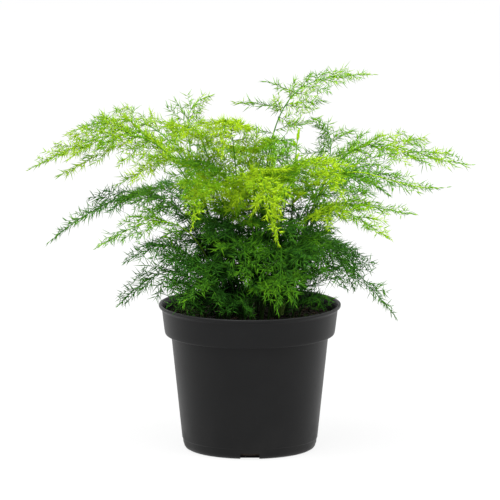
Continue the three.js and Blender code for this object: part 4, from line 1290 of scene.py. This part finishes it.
class Plume:
    """One leafy stem as it grows: its arch, its age, its draws and the shoots at its sides."""

    def __init__(self, frond, seed):
        self.frond = frond
        self.seed = seed
        self.arch = Arch(frond.root, frond.rise, frond.reach, frond.tip)
        self.heading = unit(np.array([frond.tip[0] - frond.root[0], frond.tip[1] - frond.root[1], 0]))
        self.draws = np.random.default_rng(seed)
        self.young = 1 - frond.age
        self.tone = YOUNGEST_TONE - TONE_WITH_AGE * frond.age + TONE_SHIFTS.get(frond.name, 0)
        narrow = min(1, frond.width / NARROW_PLUME + NARROW_NEEDLES)
        self.needle = np.interp(frond.age, (0, 1), NEEDLE_LENGTHS) * narrow
        self.sprigs = []
        self.growth = Growth()

    def grow_twigs(self):
        """Side twigs as the solid has them. The long ones branch again."""
        youngest, oldest = BRANCHED_FROM
        branched_from = youngest + (oldest - youngest) * self.frond.age
        for u, start, slope, way, length, droop in twigs_of(self.arch, self.heading, self.frond, self.seed):
            tone = self.tone + TONE_UP_THE_PLUME * (u - 0.5) + self.draws.uniform(*TWIG_TONE_VARIES)
            if u > TIP_BARE_FROM:
                continue
            fineness = 1 - TIP_FINENESS * rise(u, FINER_TWIGS)
            length = length * fineness
            normal = facing_up(np.cross(slope, way))
            twig = Sprig(start, way, length, droop, normal, TWIG_RADIUS, tone, self.young, fineness)
            self.sprigs.append(twig)
            if length > branched_from:
                self.grow_branchlets(twig)

    def grow_arms(self):
        """The long side arms that the photograph shows on this plume."""
        for share, way, length in ARMS.get(self.frond.name, []):
            way = unit(np.array(way))
            normal = facing_up(np.cross(way, ARM_FACE))
            start = self.arch.at(share)
            arm = Sprig(start, way, length, ARM_SAG, normal, ARM_RADIUS, self.tone, self.young)
            self.sprigs.append(arm)
            self.grow_branchlets(arm)

    def grow_inner_twigs(self):
        """Older, darker twigs all round the stem below the plume, where the bush is full."""
        draws = self.draws
        share = INNER_START
        while share < self.frond.leafy:
            height = share / self.frond.leafy
            start = self.arch.at(share)
            fade = 1 - rise(start[2], INNER_TOP)
            fade *= 1 - INNER_THINNING * rise(math.hypot(start[0], start[1]), INNER_EDGE)
            if fade < INNER_LEAST:
                break
            slope = self.arch.slope(share)
            turn = draws.uniform(0, math.tau)
            side = unit(np.cross(slope, (math.cos(turn), math.sin(turn), INNER_RISE)))
            angle = math.radians(draws.uniform(*INNER_ANGLES))
            way = unit(slope * math.cos(angle) + side * math.sin(angle))
            length = draws.uniform(*INNER_LENGTHS)
            length *= from_least(LOWEST_INNER, height) * from_least(FADED_INNER, fade)
            upright = np.cross(way, np.cross(UP, way))
            normal = unit(upright + draws.normal(0, INNER_TILT, 3))
            low, high = INNER_TONES
            tone = self.tone * (low + (high - low) * height ** 2) + draws.uniform(*INNER_TONE_VARIES)
            twig = Sprig(start, way, length, INNER_DROOP, normal, INNER_RADIUS, tone, self.young)
            self.sprigs.append(twig._replace(young=self.young * INNER_YOUTH))
            if length > INNER_BRANCHED_FROM:
                self.grow_branchlets(twig)
            share += draws.uniform(*INNER_STEP_VARIES) * INNER_STEP / self.arch.length

    def grow_branchlets(self, twig):
        """Branchlets on both sides of a long twig, in the plume's plane and as old as the twig."""
        draws = self.draws
        closer = FULLER_BY if twig.young > FULL_FROM else 0
        place = FIRST_BRANCHLET[0] * twig.length + FIRST_BRANCHLET[1]
        side = 1
        while place < twig.length - LAST_BRANCHLET:
            share = place / twig.length
            size = BRANCHLET_REACH * twig.length * (1 - share) ** BRANCHLET_TAPER
            size = size * from_least(LOWEST_BRANCHLETS, rise(share, LOW_BRANCHLETS)) + BRANCHLET_SHORTEST
            size = min(size * draws.uniform(*BRANCHLET_VARIES), BRANCHLET_LONGEST)
            foot = on_sprig(twig.start, twig.way, twig.length, twig.droop, share)
            angle = math.radians(draws.uniform(*BRANCHLET_ANGLES))
            across = unit(np.cross(twig.normal, twig.way)) * side
            lift = twig.normal * draws.uniform(*BRANCHLET_LIFTS)
            way = unit(twig.way * math.cos(angle) + across * math.sin(angle) + lift)
            bow = twig.droop * BRANCHLET_SAG + draws.uniform(*BRANCHLET_BOWS)
            tone = twig.tone + draws.uniform(*BRANCHLET_TONES)
            self.sprigs.append(twig._replace(
                start=foot, way=way, length=size, droop=bow, radius=BRANCHLET_RADIUS, tone=tone))
            side = -side
            place += draws.uniform(*BRANCHLET_STEPS) - closer

    def add_top(self):
        """Needles on the stem itself, through the plume and out to its tip."""
        first = self.frond.leafy + STEM_NEEDLES_FROM * (1 - self.frond.leafy)
        tufts = int((1 - first) * self.arch.length / TUFT_STEP)
        number = np.repeat(np.arange(tufts), needles_a_tuft(self.young))
        share = first + (1 - first) * (number + self.draws.random(len(number))) / tufts
        near_tip = STEM_END_CLOSES * share_between(share, STEM_END)
        sizes = self.needle * (1 - TIP_FINENESS * rise(share, FINER_NEEDLES))
        points, slopes = self.arch.at(share), self.arch.slope(share)
        normals = np.broadcast_to(STEM_NEEDLE_FACE, slopes.shape)
        tones = self.tone + TIP_TONE * near_tip
        add_tufts(self.growth, points, slopes, normals, near_tip, tones, sizes, self.young, self.draws)

    def add_all(self):
        """Grows every shoot and turns all into corners and triangles."""
        self.grow_twigs()
        self.grow_arms()
        self.grow_inner_twigs()
        frond, arch, growth = self.frond, self.arch, self.growth
        stem_tone, thick = BRIGHT_STEMS.get(frond.name, (min(self.tone, STEM_TONE), 1.0))
        add_stem(growth, arch, frond.root, frond.leafy, stem_tone, np.cross(self.heading, UP), thick)
        add_scales(growth, arch, frond.leafy, stem_tone, self.draws)
        add_sprigs(growth, self.sprigs, self.needle, self.draws)
        self.add_top()


def plume(frond, number, material, slot):
    """One leafy stem, which stands for its plainer solid in the frame."""
    name = frond.name
    grown = Plume(frond, number)
    grown.add_all()
    piece = grown.growth.piece("plume_" + name, material, slot)
    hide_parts("frond_" + name)


# The young shoot

def buds_of(arch):
    """Start, way and length of each bud: one at the shoot's tip and the others up its side."""
    buds = [(arch.at(TOP_BUD), arch.slope(TOP_BUD), TOP_BUD_LENGTH)]
    forward, outward = BUD_LEAN
    for i in range(SIDE_BUDS):
        height = i / (SIDE_BUDS - 1)
        share = SIDE_BUDS_FROM + SIDE_BUDS_OVER * height
        turn = BUD_TURN * i
        out = np.array([math.cos(turn), math.sin(turn), 0])
        way = unit(arch.slope(share) * forward + out * outward)
        buds.append((arch.at(share), way, SIDE_BUD_LENGTH * (1 - HIGHEST_SHORTER_BY * height)))
    return buds


def add_bud(growth, start, way, length):
    """A closed bud, slim at both ends, with pressed scales all round it."""
    steps = np.linspace(0, 1, BUD_STEPS)
    girth = BUD_NECK + BUD_BELLY * np.sin(np.pi * steps ** BUD_FORWARD) * (1 - BUD_SLIMS_BY * steps)
    girth = girth * (BUD_GIRTHS[0] + BUD_GIRTHS[1] * length)
    path = start + way * steps[:, None] * length
    along = np.full((1, BUD_STEPS), TOP_OF_STEM)
    growth.add_rods(path[None], BUD_FACE[None], girth[None], BUD_SIDES, np.array([BUD_TONE]), along)
    share = np.repeat(np.linspace(*BUD_SCALE_PLACES, BUD_SCALE_ROWS), BUD_SCALES_A_ROW)
    count = len(share)
    turn = np.arange(count) * BUD_TURN
    side = unit(np.cross(way, BUD_FACE))
    other = np.cross(way, side)
    out = side * np.cos(turn)[:, None] + other * np.sin(turn)[:, None]
    width = np.interp(share, steps, girth)[:, None]
    roots = start + way * (share * length)[:, None] + out * width * BUD_SCALE_SEAT
    ways = unit(way + out * BUD_SCALE_LEAN)
    lengths, radii = np.full(count, length * BUD_SCALE_LENGTH), np.full(count, BUD_SCALE_RADIUS)
    growth.add_needles(roots, ways, lengths, radii, np.full(count, BUD_SCALE_TONE))


def young_spear(material):
    """The nearly bare young shoot, with closed buds that point up along it."""
    root, rise_to, reach, tip = YOUNG_SHOOT
    arch = Arch(root, rise_to, reach, tip)
    draws = np.random.default_rng(SHOOT_SEED)
    growth = Growth()
    add_stem(growth, arch, root, SHOOT_LEAFY, SHOOT_TONE, SHOOT_BESIDE)
    add_scales(growth, arch, SHOOT_SCALED, SHOOT_SCALE_TONE, draws)
    for bud in buds_of(arch):
        add_bud(growth, *bud)
    piece = growth.piece("young_spear", material, "shoot")
    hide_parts("young_shoot")


def leaf_slot(age):
    """Young plumes are pale and old ones are dark."""
    if age < MID_AGE:
        return "leaf_pale"
    return "leaf_mid" if age < OLD_AGE else "leaf_dark"


def grow_plant():
    greens = {
        "leaf_pale": leaf_green("fern_pale", 0.42),
        "leaf_mid": leaf_green("fern_mid", 0.45),
        "leaf_dark": leaf_green("fern_dark", 0.48),
        "shoot": leaf_green("fern_shoot", 0.4),
    }
    for number, row in enumerate(FRONDS, start=1):
        frond = Frond(*row)
        slot = leaf_slot(frond.age)
        plume(frond, number, greens[slot], slot)
    young_spear(greens["shoot"])


# The studio

def area_light(name, place, size, power):
    lamp = bpy.data.lights.new(name, "AREA")
    lamp.size = size
    lamp.energy = power
    light = bpy.data.objects.new(name, lamp)
    light.location = place
    light.rotation_euler = (Vector(LAMP_AIM) - Vector(place)).to_track_quat("-Z", "Y").to_euler()
    bpy.context.scene.collection.objects.link(light)


def white_world():
    world = bpy.data.worlds.new("white_room")
    world.use_nodes = True
    world.node_tree.nodes["Background"].inputs["Color"].default_value = (1, 1, 1, 1)
    world.node_tree.nodes["Background"].inputs["Strength"].default_value = 1.0
    bpy.context.scene.world = world
    bpy.context.scene.view_settings.view_transform = "Standard"


def white_floor():
    mesh = bpy.data.meshes.new("floor")
    far = FLOOR_REACH
    mesh.from_pydata([(-far, -far, 0), (far, -far, 0), (far, far, 0), (-far, far, 0)], [], [(0, 1, 2, 3)])
    mesh.materials.append(studio_white())
    floor = bpy.data.objects.new("floor", mesh)
    bpy.context.scene.collection.objects.link(floor)


def photo_camera():
    """Looks down at the pot as the photograph does, from far off."""
    camera = bpy.data.objects.new("camera", bpy.data.cameras.new("camera"))
    camera.data.sensor_width = SENSOR
    camera.data.lens = SENSOR * VIEW_DISTANCE / VIEW_WIDTH
    camera.data.clip_end = FARTHEST_SEEN
    back = Vector((0, -math.cos(VIEW_ELEVATION), math.sin(VIEW_ELEVATION)))
    camera.location = VIEW_CENTRE + back * VIEW_DISTANCE
    camera.rotation_euler = (-back).to_track_quat("-Z", "Y").to_euler()
    bpy.context.scene.collection.objects.link(camera)
    bpy.context.scene.camera = camera


def studio():
    white_world()
    white_floor()
    for name, (place, size, power) in LAMPS.items():
        area_light(name, place, size, power)
    photo_camera()


moulded_pot()
crust = soil_crust()
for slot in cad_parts["soil"].material_slots:
    slot.material = crust.data.materials[0]
soil_litter()
soil_moss()
grow_plant()
studio()
